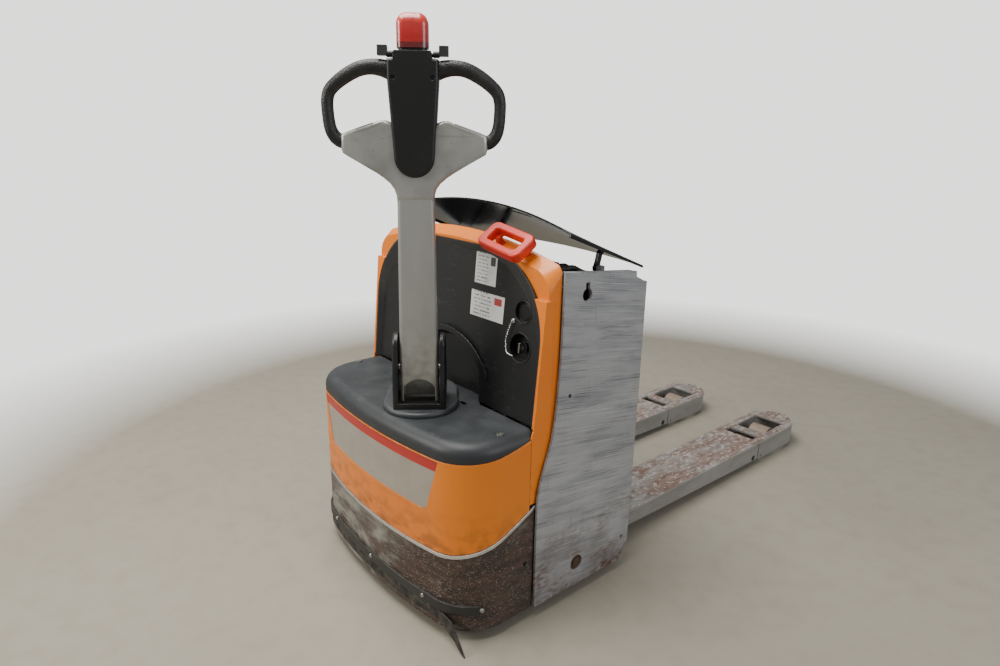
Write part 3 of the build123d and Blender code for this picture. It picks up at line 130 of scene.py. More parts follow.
class Surface:
    """One material under construction: its tree, its shader and its wear."""

    def __init__(self, name: str, **shader_values: Any) -> None:
        """Start a material with a Principled shader.

        Args:
            name: The material's name.
            shader_values: Shader socket values, with underscores for spaces.
        """
        self.material = bpy.data.materials.new(name)
        self.material.use_nodes = True
        self.tree = self.material.node_tree
        self.tree.nodes.clear()
        self.add: Callable[..., Any] = partial(add_node, self.tree)
        values = {key.replace("_", " "): value for key, value in shader_values.items()}
        shader = self.add("ShaderNodeBsdfPrincipled", values)
        self.shader = shader.node
        self.add("ShaderNodeOutputMaterial", {"Surface": shader}, out=None)
        self.place = self.add("ShaderNodeTexCoord", out="Object")
        parts = self.add("ShaderNodeSeparateXYZ", {"Vector": self.place}, out=None)
        self.height = parts.outputs["Z"]
        self.width = parts.outputs["X"]
        self.colour: Any = (0.5, 0.5, 0.5, 1.0)
        self.roughness: Any = 0.5
        self.relief: Any = None

    def lumps(
        self, size_mm: float, detail: float = 3.0, stretch: Sequence[float] = (1, 1, 1), lean: float = 0.0
    ) -> Any:
        """Return a soft uneven pattern.

        Args:
            size_mm: Size of its lumps.
            detail: How much smaller unevenness they carry.
            stretch: How many times longer they are along each axis.
            lean: How far the pattern dips towards the rear, in degrees.

        Returns:
            A socket that wanders about one half.
        """
        layout = {
            "Vector": self.place,
            "Rotation": Vector((math.radians(-lean), 0.0, 0.0)),
            "Scale": Vector([size_mm * MM * s for s in stretch]),
        }
        place = self.add("ShaderNodeMapping", layout, out="Vector", vector_type="TEXTURE")
        return self.add("ShaderNodeTexNoise", {"Vector": place, "Scale": 1.0, "Detail": detail})

    def mask(self, value: Any, low: float, high: float, *within: Any) -> Any:
        """Return a mask that grows from 0 to 1 between two levels of a value.

        Args:
            value: The value.
            low: Its level at 0.
            high: Its level at 1, which may be the smaller one.
            within: Masks or numbers that it is multiplied by.

        Returns:
            The mask's socket.
        """
        limits = {"Value": value, "From Min": low, "From Max": high}
        result = self.add("ShaderNodeMapRange", limits, clamp=True)
        for other in within:
            result = self.add("ShaderNodeMath", {0: result, 1: other}, operation="MULTIPLY")
        return result

    def patches(self, size_mm: float, low: float, high: float, *within: Any, **shape: Any) -> Any:
        """Return a mask of cloudy patches, whose edges lie between two levels of the pattern."""
        return self.mask(self.lumps(size_mm, **shape), low, high, *within)

    def scratches(
        self, along: Along, length_mm: float, width_mm: float, share: float, *within: Any, lean: float = 0.0
    ) -> Any:
        """Return a mask of thin straight scratches.

        Args:
            along: The direction they run in.
            length_mm: Their typical length.
            width_mm: Their width.
            share: How much of the surface they take, from 0 to 1.
            within: Masks that limit where they lie.
            lean: How far they dip towards the rear, in degrees.

        Returns:
            The mask's socket.
        """
        stretch = [1.0, 1.0, 1.0]
        stretch[along.value] = length_mm / width_mm
        # a noise seldom passes 0.72, so a lower edge lets more of its streaks through
        edge = 0.72 - 0.24 * share
        soft = 0.04
        return self.patches(width_mm, edge, edge + soft, *within, detail=2.0, stretch=stretch, lean=lean)

    def edges(self, radius_mm: float, *within: Any) -> Any:
        """Return a mask of the sharp edges, where handling wears a surface first.

        Args:
            radius_mm: How far from the edge it reaches.
            within: Masks that limit where it lies.

        Returns:
            The mask's socket.
        """
        rounded = self.add("ShaderNodeBevel", {"Radius": radius_mm * MM}, samples=4)
        flat = self.add("ShaderNodeNewGeometry", out="Normal")
        facing = self.add("ShaderNodeVectorMath", {0: rounded, 1: flat}, out="Value", operation="DOT_PRODUCT")
        return self.mask(facing, 0.985, 0.80, *within)

    def facing_up(self, *within: Any) -> Any:
        """Return a mask of the faces that dust settles on.

        Args:
            within: Masks that limit where it lies.

        Returns:
            The mask's socket.
        """
        normal = self.add("ShaderNodeNewGeometry", out="Normal")
        parts = self.add("ShaderNodeSeparateXYZ", {"Vector": normal}, out=None)
        return self.mask(parts.outputs["Z"], 0.55, 0.95, *within)

    def tint(self, mask: Any, colour: str, strength: float = 1.0) -> None:
        """Lay a colour over the surface through a mask."""
        layer = {0: self.mask(mask, 0.0, 1.0, strength), 6: self.colour, 7: linear(colour)}
        self.colour = self.add("ShaderNodeMix", layer, out=2, data_type="RGBA")

    def polish(self, mask: Any, roughness: float) -> None:
        """Give the masked area another roughness."""
        layer = {0: mask, 2: self.roughness, 3: roughness}
        self.roughness = self.add("ShaderNodeMix", layer, out=0, data_type="FLOAT")

    def raise_by(self, pattern: Any, depth_mm: float) -> None:
        """Add relief to the surface.

        Args:
            pattern: Its height, from 0 to 1.
            depth_mm: How high it stands at 1, or how deep it lies when negative.
        """
        before = {} if self.relief is None else {"Normal": self.relief}
        bump = {"Height": pattern, "Distance": depth_mm * MM, "Strength": 1.0, **before}
        self.relief = self.add("ShaderNodeBump", bump)

    def round_edges(self, radius_mm: float) -> None:
        """Let light run over sharp edges as if they had this radius."""
        self.relief = self.add("ShaderNodeBevel", {"Radius": radius_mm * MM}, samples=6)

    def finish(self) -> bpy.types.Material:
        """Link colour, roughness and relief to the shader and return the material."""
        for name, value in (("Base Color", self.colour), ("Roughness", self.roughness)):
            socket = self.shader.inputs[name]
            if isinstance(value, bpy.types.NodeSocket):
                self.tree.links.new(value, socket)
            else:
                socket.default_value = value
        if self.relief is not None:
            self.tree.links.new(self.relief, self.shader.inputs["Normal"])
        return self.material


@dataclass(frozen=True)
class GlossShell:
    """Moulded and lacquered GRP: even, glossy, with fine scuffs and grime low down."""

    name: str
    colour: str
    shade: str
    grime_top: float
    grime_bottom: float

    def build(self) -> bpy.types.Material:
        """Return the material."""
        s = Surface(self.name, IOR=1.45, Coat_Weight=0.35, Coat_Roughness=0.10)
        s.round_edges(3.0)
        s.colour = linear(self.colour)
        s.roughness = 0.42
        s.tint(s.patches(260.0, 0.35, 0.7), self.shade, 0.6)
        # fine hairline scuffs from brushing past racks, drawn 1 mm wide so that they show
        hair = s.scratches(Along.WIDTH, 60.0, 1.0, 0.16, s.patches(90.0, 0.5, 0.62))
        s.tint(hair, "#F0A860", 0.5)
        s.polish(hair, 0.6)
        dark = s.scratches(Along.WIDTH, 26.0, 2.0, 0.20, s.patches(70.0, 0.53, 0.62))
        s.tint(dark, "#6A3A12", 0.7)
        low = s.mask(s.height, self.grime_top, self.grime_bottom)
        soot = s.patches(30.0, 0.44, 0.64, low, detail=6.0, stretch=(1.6, 1.0, 1.0))
        s.tint(soot, "#5E3A18", 0.6)
        s.polish(soot, 0.7)
        s.tint(s.edges(2.0, s.patches(12.0, 0.5, 0.6)), "#F4C890", 0.5)
        # long orange peel of a sprayed lacquer
        s.raise_by(s.lumps(2.2, 1.0), 0.04)
        return s.finish()


@dataclass(frozen=True)
class WornEnamel:
    """Stove enamel on sheet steel: satin silver with scrapes that dip to the rear, rust low down."""

    name: str
    colour: str
    scrape: float
    rust_top: float
    rust_bottom: float
    rust_share: float
    along: Along = Along.LENGTH
    lean: float = 9.0

    def build(self) -> bpy.types.Material:
        """Return the material."""
        s = Surface(self.name, IOR=1.5, Metallic=0.15)
        s.round_edges(2.0)
        s.colour = linear(self.colour)
        s.roughness = 0.44
        stretch = [1.0, 1.0, 1.0]
        stretch[self.along.value] = 7.0
        s.tint(s.patches(150.0, 0.36, 0.66, detail=4.0, stretch=stretch), "#828386", 0.55)
        # bands of grey rub marks where loads slide past, each band made of fine lines
        band = s.patches(30.0, 0.46, 0.62, detail=4.0, stretch=stretch, lean=self.lean)
        s.tint(band, "#7D7F84", 0.4 * self.scrape)
        fine = s.scratches(self.along, 260.0, 1.3, 0.8, band, lean=self.lean)
        s.tint(fine, "#55565A", 0.6 * self.scrape)
        s.polish(band, 0.56)
        thin = s.scratches(self.along, 320.0, 1.2, 0.36 * self.scrape, lean=self.lean)
        s.tint(thin, "#D6D8DC", 0.6)
        rubbed = s.patches(90.0, 0.42, 0.56)
        dark = s.scratches(self.along, 240.0, 1.5, 0.46 * self.scrape, rubbed, lean=self.lean)
        s.tint(dark, "#3B3836", 0.7)
        level = s.scratches(self.along, 300.0, 1.4, 0.34 * self.scrape, s.patches(120.0, 0.44, 0.56))
        s.tint(level, "#46444A", 0.6)
        cross = s.scratches(Along.HEIGHT, 160.0, 1.3, 0.30 * self.scrape, s.patches(90.0, 0.46, 0.58))
        s.tint(cross, "#55514D", 0.6)
        low = s.mask(s.height, self.rust_top, self.rust_bottom)
        edge = 0.52 - 0.20 * self.rust_share
        wide = s.patches(70.0, edge, edge + 0.2, low, detail=6.0, stretch=(1.0, 1.8, 1.0))
        worn = s.patches(9.0, 0.40, 0.56, wide, detail=9.0, stretch=(1.0, 2.5, 1.0))
        s.tint(s.patches(120.0, 0.35, 0.6, low, detail=4.0), "#6B645C", 0.6)
        s.tint(worn, "#563C30", 0.95)
        s.tint(s.patches(5.0, 0.46, 0.62, worn, detail=5.0), "#7C5138", 0.5)
        chips = s.edges(3.0, s.patches(9.0, 0.46, 0.56, detail=5.0))
        s.tint(chips, "#4A342A", 0.85)
        s.polish(worn, 0.82)
        s.polish(chips, 0.8)
        s.raise_by(s.lumps(2.0, 2.0), 0.04)
        s.raise_by(worn, -0.3)
        s.raise_by(thin, -0.10)
        return s.finish()


@dataclass(frozen=True)
class ScuffedApron:
    """Enamelled foot guard: scuffed sideways down to brown steel, most of all at its right corner."""

    name: str
    colour: str
    clean_x: float
    worn_x: float

    def build(self) -> bpy.types.Material:
        """Return the material."""
        s = Surface(self.name, IOR=1.5, Metallic=0.15)
        s.round_edges(2.0)
        s.colour = linear(self.colour)
        s.roughness = 0.5
        wide = (6.0, 3.0, 1.0)
        s.tint(s.patches(60.0, 0.38, 0.62, detail=5.0), "#57534D", 0.6)
        right = s.mask(s.width, self.clean_x, self.worn_x)
        low = s.mask(s.height, 0.27, 0.13)
        rub = s.patches(10.0, 0.50, 0.66, detail=6.0, stretch=wide)
        s.tint(rub, "#4A4640", 0.6)
        spots = s.patches(60.0, 0.46, 0.54, low, detail=9.0, stretch=(1.8, 1.8, 1.0))
        s.tint(spots, "#463229", 0.85)
        # the corner that meets walls and racks is down to brown, freckled with old paint
        s.tint(s.patches(80.0, 0.24, 0.42, right, detail=8.0), "#4A372D", 0.95)
        s.tint(s.patches(16.0, 0.44, 0.62, right, detail=8.0, stretch=wide), "#2F2622", 0.75)
        s.tint(s.patches(5.0, 0.60, 0.66, right, detail=6.0, stretch=(3.0, 2.0, 1.0)), "#8B8780", 0.45)
        s.tint(s.scratches(Along.WIDTH, 60.0, 1.6, 0.34), "#B9B8B4", 0.6)
        s.tint(s.scratches(Along.WIDTH, 120.0, 2.2, 0.30, low), "#241F1B", 0.8)
        s.tint(s.edges(3.0, s.patches(9.0, 0.40, 0.52, detail=5.0)), "#33261F", 0.9)
        s.polish(rub, 0.68)
        s.polish(right, 0.7)
        s.raise_by(s.lumps(2.4, 3.0), 0.08)
        s.raise_by(rub, -0.15)
        return s.finish()


@dataclass(frozen=True)
class ForkSteel:
    """Enamelled fork steel: the flat top is rubbed to rusty brown, the sides keep their grey."""

    name: str
    colour: str

    def build(self) -> bpy.types.Material:
        """Return the material."""
        s = Surface(self.name, IOR=1.5, Metallic=0.2)
        s.round_edges(2.5)
        s.colour = linear(self.colour)
        s.roughness = 0.5
        top = s.facing_up()
        s.tint(s.patches(60.0, 0.40, 0.66, detail=5.0, stretch=(1, 3, 1)), "#77746F", 0.6)
        rub = s.patches(70.0, 0.40, 0.60, top, detail=9.0, stretch=(1, 2.2, 1))
        s.tint(rub, "#7B6155", 0.85)
        s.tint(s.patches(18.0, 0.46, 0.60, top, detail=8.0, stretch=(1, 2.5, 1)), "#5F463B", 0.6)
        s.tint(s.patches(9.0, 0.56, 0.62, top, detail=8.0, stretch=(1, 2, 1)), "#B5ADA5", 0.7)
        s.tint(s.scratches(Along.LENGTH, 160.0, 1.6, 0.45, top), "#BEB7AF", 0.6)
        s.tint(s.scratches(Along.LENGTH, 60.0, 1.4, 0.30), "#443C37", 0.7)
        s.tint(s.edges(3.0, s.patches(12.0, 0.40, 0.52, detail=5.0)), "#54402F", 0.9)
        s.polish(rub, 0.62)
        s.raise_by(s.lumps(1.6, 3.0), 0.06)
        s.raise_by(rub, -0.15)
        return s.finish()


@dataclass(frozen=True)
class MouldedGrain:
    """Injection-moulded ABS or PA with a fine spark-eroded grain that breaks up its shine."""

    name: str
    colour: str
    grain_mm: float = 1.6
    depth_mm: float = 0.10
    roughness: float = 0.5
    dust: str = "#8D8B84"
    dust_share: float = 0.25
    scuff: str = "#9A9A98"

    def build(self) -> bpy.types.Material:
        """Return the material."""
        s = Surface(self.name, IOR=1.5)
        s.round_edges(2.0)
        s.colour = linear(self.colour)
        s.roughness = self.roughness
        settled = s.facing_up(s.patches(60.0, 0.30, 0.75, detail=6.0))
        s.tint(settled, self.dust, self.dust_share)
        haze = s.patches(90.0, 0.48, 0.78, detail=8.0)
        s.tint(haze, self.dust, 0.25 * self.dust_share)
        s.polish(settled, min(0.9, self.roughness + 0.15))
        marks = s.scratches(Along.WIDTH, 34.0, 0.9, 0.18, s.patches(80.0, 0.48, 0.6))
        s.tint(marks, self.scuff, 0.45)
        s.tint(s.edges(1.6, s.patches(20.0, 0.42, 0.6)), self.scuff, 0.3)
        s.raise_by(s.lumps(self.grain_mm, 2.0), self.depth_mm)
        return s.finish()


@dataclass(frozen=True)
class Metal:
    """Bare or plated metal: fine tool or brushing marks along one direction."""

    name: str
    colour: str
    roughness: float
    along: Along
    line_mm: float = 0.7
    depth_mm: float = 0.02
    stain: str = "#5C5550"
    stain_share: float = 0.3

    def build(self) -> bpy.types.Material:
        """Return the material."""
        s = Surface(self.name, Metallic=1.0)
        s.round_edges(1.0)
        s.colour = linear(self.colour)
        s.roughness = self.roughness
        stretch = [1.0, 1.0, 1.0]
        stretch[self.along.value] = 60.0
        lines = s.lumps(self.line_mm, 2.0, stretch)
        s.tint(s.mask(lines, 0.45, 0.7), self.stain, 0.22)
        stains = s.patches(28.0, 0.50, 0.72, detail=6.0)
        s.tint(stains, self.stain, self.stain_share)
        s.polish(stains, min(0.9, self.roughness + 0.25))
        s.raise_by(lines, self.depth_mm)
        return s.finish()


@dataclass(frozen=True)
class SatinColumn:
    """Extruded aluminium, bead blasted and clear anodised: even silver with soft rub marks."""

    name: str
    colour: str

    def build(self) -> bpy.types.Material:
        """Return the material."""
        s = Surface(self.name, Metallic=0.6)
        s.round_edges(3.0)
        s.colour = linear(self.colour)
        s.roughness = 0.42
        s.tint(s.patches(120.0, 0.4, 0.7, stretch=(1, 1, 4)), "#6E6D66", 0.35)
        s.tint(s.scratches(Along.HEIGHT, 80.0, 1.1, 0.22, s.patches(90.0, 0.45, 0.6)), "#D0CFC8", 0.6)
        s.tint(s.scratches(Along.WIDTH, 9.0, 0.9, 0.12, s.patches(60.0, 0.5, 0.62)), "#45433F", 0.7)
        foot = s.mask(s.height, 0.76, 0.55)
        s.tint(s.patches(26.0, 0.34, 0.7, foot, detail=6.0), "#5E5848", 0.6)
        s.tint(s.edges(1.8), "#C9C8C3", 0.5)
        s.raise_by(s.lumps(0.8, 1.0), 0.02)
        return s.finish()


@dataclass(frozen=True)
class SprayedSilver:
    """Silver-grey metallic lacquer over a die casting: soft sheen, worn spots and fine flakes."""

    name: str
    colour: str

    def build(self) -> bpy.types.Material:
        """Return the material."""
        s = Surface(self.name, Metallic=0.55, Coat_Weight=0.4, Coat_Roughness=0.15)
        s.colour = linear(self.colour)
        s.roughness = 0.38
        # metal flakes, drawn at 0.8 mm so that they show
        s.tint(s.patches(0.8, 0.5, 0.7, detail=1.0), "#C4C5C6", 0.22)
        s.tint(s.patches(70.0, 0.42, 0.7, detail=4.0), "#5F5E5A", 0.35)
        s.tint(s.scratches(Along.WIDTH, 26.0, 0.9, 0.2, s.patches(45.0, 0.5, 0.62)), "#DCDCDA", 0.6)
        s.tint(s.patches(5.0, 0.70, 0.73, detail=4.0), "#3F3D3A", 0.8)
        s.raise_by(s.lumps(1.8, 1.0), 0.04)
        return s.finish()


@dataclass(frozen=True)
class Elastomer:
    """Moulded rubber or polyurethane: dull, slightly greyed by dust, with a pebbled skin."""

    name: str
    colour: str
    pebble_mm: float
    depth_mm: float
    roughness: float = 0.72
    dust: str = "#7C766B"
    dust_share: float = 0.35

    def build(self) -> bpy.types.Material:
        """Return the material."""
        s = Surface(self.name, IOR=1.5)
        s.colour = linear(self.colour)
        s.roughness = self.roughness
        s.tint(s.patches(24.0, 0.42, 0.72, detail=6.0), self.dust, self.dust_share)
        s.tint(s.patches(4.0, 0.60, 0.72, detail=4.0), self.dust, 0.6 * self.dust_share)
        pitch = {"Vector": s.place, "Scale": 1.0 / (self.pebble_mm * MM)}
        cells = s.add("ShaderNodeTexVoronoi", pitch, feature="SMOOTH_F1")
        s.raise_by(s.mask(cells, 0.15, 0.75), -self.depth_mm)
        s.polish(s.patches(40.0, 0.5, 0.7), self.roughness - 0.15)
        s.raise_by(s.lumps(0.9, 2.0), 0.03)
        return s.finish()


@dataclass(frozen=True)
class RedLens:
    """Translucent red polycarbonate cap: light sinks in; a painted highlight makes it paler at its crown,
    painted shade darker at its seat.
    """

    name: str
    colour: str
    painted_shade_top: float
    crown: float

    def build(self) -> bpy.types.Material:
        """Return the material."""
        s = Surface(
            self.name,
            IOR=1.5,
            Subsurface_Weight=0.4,
            Subsurface_Radius=Vector((0.020, 0.003, 0.002)),
            Subsurface_Scale=1.0,
            Coat_Weight=0.7,
            Coat_Roughness=0.10,
        )
        s.colour = linear(self.colour)
        s.roughness = 0.30
        # painted highlight: the top 45 mm of the cap are tinted a paler red
        s.tint(s.mask(s.height, self.crown - 0.045, self.crown), "#E2564C", 0.6)
        s.tint(s.patches(30.0, 0.4, 0.7), "#8E1410", 0.4)
        # painted shade: below its seat line the cap is tinted a near-black red
        s.tint(s.mask(s.height, self.painted_shade_top + 0.0012, self.painted_shade_top), "#5B0A0D", 0.9)
        rubs = s.scratches(Along.WIDTH, 14.0, 0.8, 0.2, s.patches(30.0, 0.45, 0.6))
        s.tint(rubs, "#F2B4AC", 0.4)
        s.polish(rubs, 0.5)
        s.raise_by(s.lumps(1.5, 1.0), 0.02)
        return s.finish()


@dataclass(frozen=True)
class CastSkin:
    """Sand-cast iron or aluminium housing, thinly painted: pitted and oily."""

    name: str
    colour: str
    metallic: float = 0.3

    def build(self) -> bpy.types.Material:
        """Return the material."""
        s = Surface(self.name, Metallic=self.metallic)
        s.round_edges(3.0)
        s.colour = linear(self.colour)
        s.roughness = 0.62
        s.tint(s.patches(40.0, 0.42, 0.7, detail=6.0), "#1D1B19", 0.5)
        s.tint(s.edges(2.5, s.patches(10.0, 0.4, 0.6)), "#8C8A86", 0.4)
        oil = s.patches(55.0, 0.56, 0.66)
        s.tint(oil, "#14110D", 0.6)
        s.polish(oil, 0.25)
        s.raise_by(s.lumps(3.0, 4.0), 0.25)
        return s.finish()


@dataclass(frozen=True)
class NamePlate:
    """Printed and lacquered plate: warm grey field, red band along the top, no lettering."""

    name: str
    field: str
    band: str
    band_bottom: float

    def build(self) -> bpy.types.Material:
        """Return the material."""
        s = Surface(self.name, IOR=1.5, Coat_Weight=0.3, Coat_Roughness=0.2)
        s.round_edges(1.5)
        s.colour = linear(self.field)
        s.roughness = 0.42
        s.tint(s.patches(60.0, 0.4, 0.7, detail=4.0), "#857E72", 0.4)
        s.tint(s.mask(s.height, self.band_bottom, self.band_bottom + 0.0008), self.band)
        rubs = s.scratches(Along.WIDTH, 40.0, 1.0, 0.25, s.patches(50.0, 0.46, 0.6))
        s.tint(rubs, "#5F574C", 0.6)
        s.polish(rubs, 0.65)
        s.tint(s.edges(2.0), "#C9782E", 0.45)
        s.raise_by(s.lumps(1.4, 1.0), 0.02)
        return s.finish()


@dataclass(frozen=True)
class PrintedLabel:
    """White vinyl label with rows of grey dashes for print and one coloured block."""

    name: str
    rows: float
    block: str

    def build(self) -> bpy.types.Material:
        """Return the material."""
        s = Surface(self.name, IOR=1.5)
        s.colour = linear("#D6D7D4")
        s.roughness = 0.40
        uv = s.add("ShaderNodeTexCoord", out="UV")
        parts = s.add("ShaderNodeSeparateXYZ", {"Vector": uv}, out=None)
        across, up = parts.outputs["X"], parts.outputs["Y"]
        rows = s.add("ShaderNodeMath", {0: up, 1: self.rows}, operation="MULTIPLY")
        wave = s.add("ShaderNodeMath", {0: rows, 1: 1.0}, operation="FRACT")
        pitch = {"Vector": uv, "Scale": Vector((26.0, self.rows, 1.0))}
        dashes = s.add("ShaderNodeMapping", pitch, out="Vector")
        words = s.add("ShaderNodeTexNoise", {"Vector": dashes, "Scale": 1.0, "Detail": 1.0})
        margin = s.mask(across, 0.08, 0.10, s.mask(across, 0.62, 0.60))
        s.tint(s.mask(wave, 0.62, 0.66, s.mask(words, 0.46, 0.50), margin), "#3A3A3A", 0.8)
        right = s.mask(across, 0.70, 0.71, s.mask(across, 0.93, 0.92))
        s.tint(s.mask(up, 0.62, 0.63, s.mask(up, 0.90, 0.89), right), self.block, 0.95)
        s.tint(s.patches(30.0, 0.5, 0.75, detail=4.0), "#8E8B82", 0.35)
        s.raise_by(s.lumps(1.2, 1.0), 0.01)
        return s.finish()


@dataclass(frozen=True)
class SweptFloor:
    """Power-floated concrete, plain, with the faint cloudiness of its trowel; it fades at its rim."""

    name: str
    colour: str
    solid_r: float
    rim_r: float

    def build(self) -> bpy.types.Material:
        """Return the material."""
        s = Surface(self.name, IOR=1.5)
        s.colour = linear(self.colour)
        s.roughness = 0.7
        s.tint(s.patches(700.0, 0.4, 0.7, detail=5.0), "#847E70", 0.35)
        s.tint(s.patches(60.0, 0.45, 0.75, detail=6.0), "#787264", 0.25)
        s.raise_by(s.lumps(5.0, 3.0), 0.08)
        reach = s.add("ShaderNodeVectorMath", {0: s.place}, out="Value", operation="LENGTH")
        s.tree.links.new(s.mask(reach, self.rim_r, self.solid_r), s.shader.inputs["Alpha"])
        return s.finish()


# ------------------------------------------------------------------ meshes


def piece(
    name: str, mesh: bmesh.types.BMesh, finish: bpy.types.Material, smooth: bool = True
) -> bpy.types.Object:
    """Turn a finished bmesh into an object with one material.

    Args:
        name: The object's name.
        mesh: The mesh, which is freed.
        finish: Its material.
        smooth: Whether its faces are shaded smooth.

    Returns:
        The linked object.
    """
    bmesh.ops.recalc_face_normals(mesh, faces=mesh.faces[:])
    data = bpy.data.meshes.new(name)
    mesh.to_mesh(data)
    mesh.free()
    for face in data.polygons:
        face.use_smooth = smooth
    thing = bpy.data.objects.new(name, data)
    bpy.context.scene.collection.objects.link(thing)
    data.materials.append(finish)
    return thing


def crisp(thing: bpy.types.Object, angle: float = 32.0) -> bpy.types.Object:
    """Keep the steep edges of a smooth-shaded object sharp.

    Args:
        thing: The object.
        angle: The least angle of a sharp edge, in degrees.

    Returns:
        The same object.
    """
    sharp = math.radians(angle)
    mesh = bmesh.new()
    mesh.from_mesh(thing.data)
    for edge in mesh.edges:
        edge.smooth = len(edge.link_faces) == 2 and edge.calc_face_angle(0.0) < sharp
    mesh.to_mesh(thing.data)
    mesh.free()
    return thing


def lathe(profile: Sequence[Point2], steps: int, place: Matrix) -> bmesh.types.BMesh:
    """Spin a profile of (radius, height) points about the local Z axis.

    Args:
        profile: The points, from one end on the axis to the other.
        steps: Number of segments round.
        place: Where the local axes lie.

    Returns:
        A closed mesh.
    """
    mesh = bmesh.new()
    rings = []
    for radius, height in profile:
        if radius < 1e-7:
            rings.append([mesh.verts.new(place @ Vector((0, 0, height)))])
            continue
        ring = []
        for k in range(steps):
            turn = 2 * math.pi * k / steps
            point = Vector((radius * math.cos(turn), radius * math.sin(turn), height))
            ring.append(mesh.verts.new(place @ point))
        rings.append(ring)
    for low, high in zip(rings, rings[1:]):
        for k in range(steps):
            n = (k + 1) % steps
            if len(low) == 1 and len(high) > 1:
                mesh.faces.new((low[0], high[k], high[n]))
            elif len(high) == 1 and len(low) > 1:
                mesh.faces.new((low[k], low[n], high[0]))
            elif len(low) > 1:
                mesh.faces.new((low[k], low[n], high[n], high[k]))
    return mesh


def slab(
    outline: Sequence[Point2], low: float, high: float, bevel: float, steps: int, place: Matrix
) -> bmesh.types.BMesh:
    """Extrude a closed outline and round its rims.

    Args:
        outline: Points of the outline in the local XY plane.
        low: Local Z of the back.
        high: Local Z of the front.
        bevel: Radius of the rims.
        steps: Segments of that radius.
        place: Where the local axes lie.

    Returns:
        A closed mesh.
    """
    mesh = bmesh.new()
    base = [mesh.verts.new((x, y, low)) for x, y in outline]
    face = mesh.faces.new(base)
    raised = bmesh.ops.extrude_face_region(mesh, geom=[face])
    for item in raised["geom"]:
        if isinstance(item, bmesh.types.BMVert):
            item.co.z = high
    if bevel > 0:
        rims = [e for e in mesh.edges if abs(e.verts[0].co.z - e.verts[1].co.z) < 1e-7]
        bmesh.ops.bevel(
            mesh, geom=rims, offset=bevel, segments=steps, profile=0.5, affect="EDGES", clamp_overlap=False
        )
    mesh.transform(place)
    return mesh


def tube(path: Sequence[Vector], radii: Sequence[Point2], side: Vector, steps: int) -> bmesh.types.BMesh:
    """Sweep an ellipse along points and close both ends.

    Args:
        path: Centres of the rings.
        radii: For each ring, its half size along side and square to it.
        side: A direction that stays in the ring's plane.
        steps: Segments round.

    Returns:
        A closed mesh.
    """
    mesh = bmesh.new()
    rings = []
    for i, centre in enumerate(path):
        along = (path[min(i + 1, len(path) - 1)] - path[max(i - 1, 0)]).normalized()
        first = (side - along * side.dot(along)).normalized()
        second = along.cross(first)
        ring = []
        for k in range(steps):
            turn = 2 * math.pi * k / steps
            offset = first * radii[i][0] * math.cos(turn) + second * radii[i][1] * math.sin(turn)
            ring.append(mesh.verts.new(centre + offset))
        rings.append(ring)
    for low, high in zip(rings, rings[1:]):
        for k in range(steps):
            n = (k + 1) % steps
            mesh.faces.new((low[k], low[n], high[n], high[k]))
    mesh.faces.new(rings[0])
    mesh.faces.new(rings[-1])
    return mesh


def smooth_path(points: Sequence[Vector], per_span: int) -> list[Vector]:
    """Return points along a smooth curve through the given ones.

    Args:
        points: The points, in order.
        per_span: How many points each stretch between two of them gets.

    Returns:
        The curve's points, with the last one given.
    """
    result = []
    for i in range(len(points) - 1):
        before = points[max(i - 1, 0)]
        after = points[min(i + 2, len(points) - 1)]
        a, b = points[i], points[i + 1]
        for k in range(per_span):
            t = k / per_span
            pull = (b - before) * (t - 2 * t * t + t**3) * 0.5 + (after - a) * (t**3 - t * t) * 0.5
            result.append(a * (2 * t**3 - 3 * t * t + 1) + b * (3 * t * t - 2 * t**3) + pull)
    result.append(points[-1])
    return result


def joint(name: str) -> dict:
    """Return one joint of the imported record."""
    return next(j for j in frame["joints"] if j["name"] == name)


def dress(finish: bpy.types.Material, *nodes: str) -> None:
    """Give CAD nodes a finish.

    Args:
        finish: The material.
        nodes: Names of the nodes.
    """
    for name in nodes:
        materials = frame["nodes"][name].data.materials
        materials.clear()
        materials.append(finish)


def axes(origin: Vector, across: Vector, out: Vector) -> Matrix:
    """Return a placement from two directions.

    Args:
        origin: Where its origin lies.
        across: The direction that its X follows as nearly as its Z allows.
        out: The direction of its Z.

    Returns:
        The placement.
    """
    z = out.normalized()
    x = (across - z * across.dot(z)).normalized()
    y = z.cross(x)
    place = Matrix((x, y, z)).transposed().to_4x4()
    place.translation = origin
    return place


# ------------------------------------------------------------------ sub-assemblies


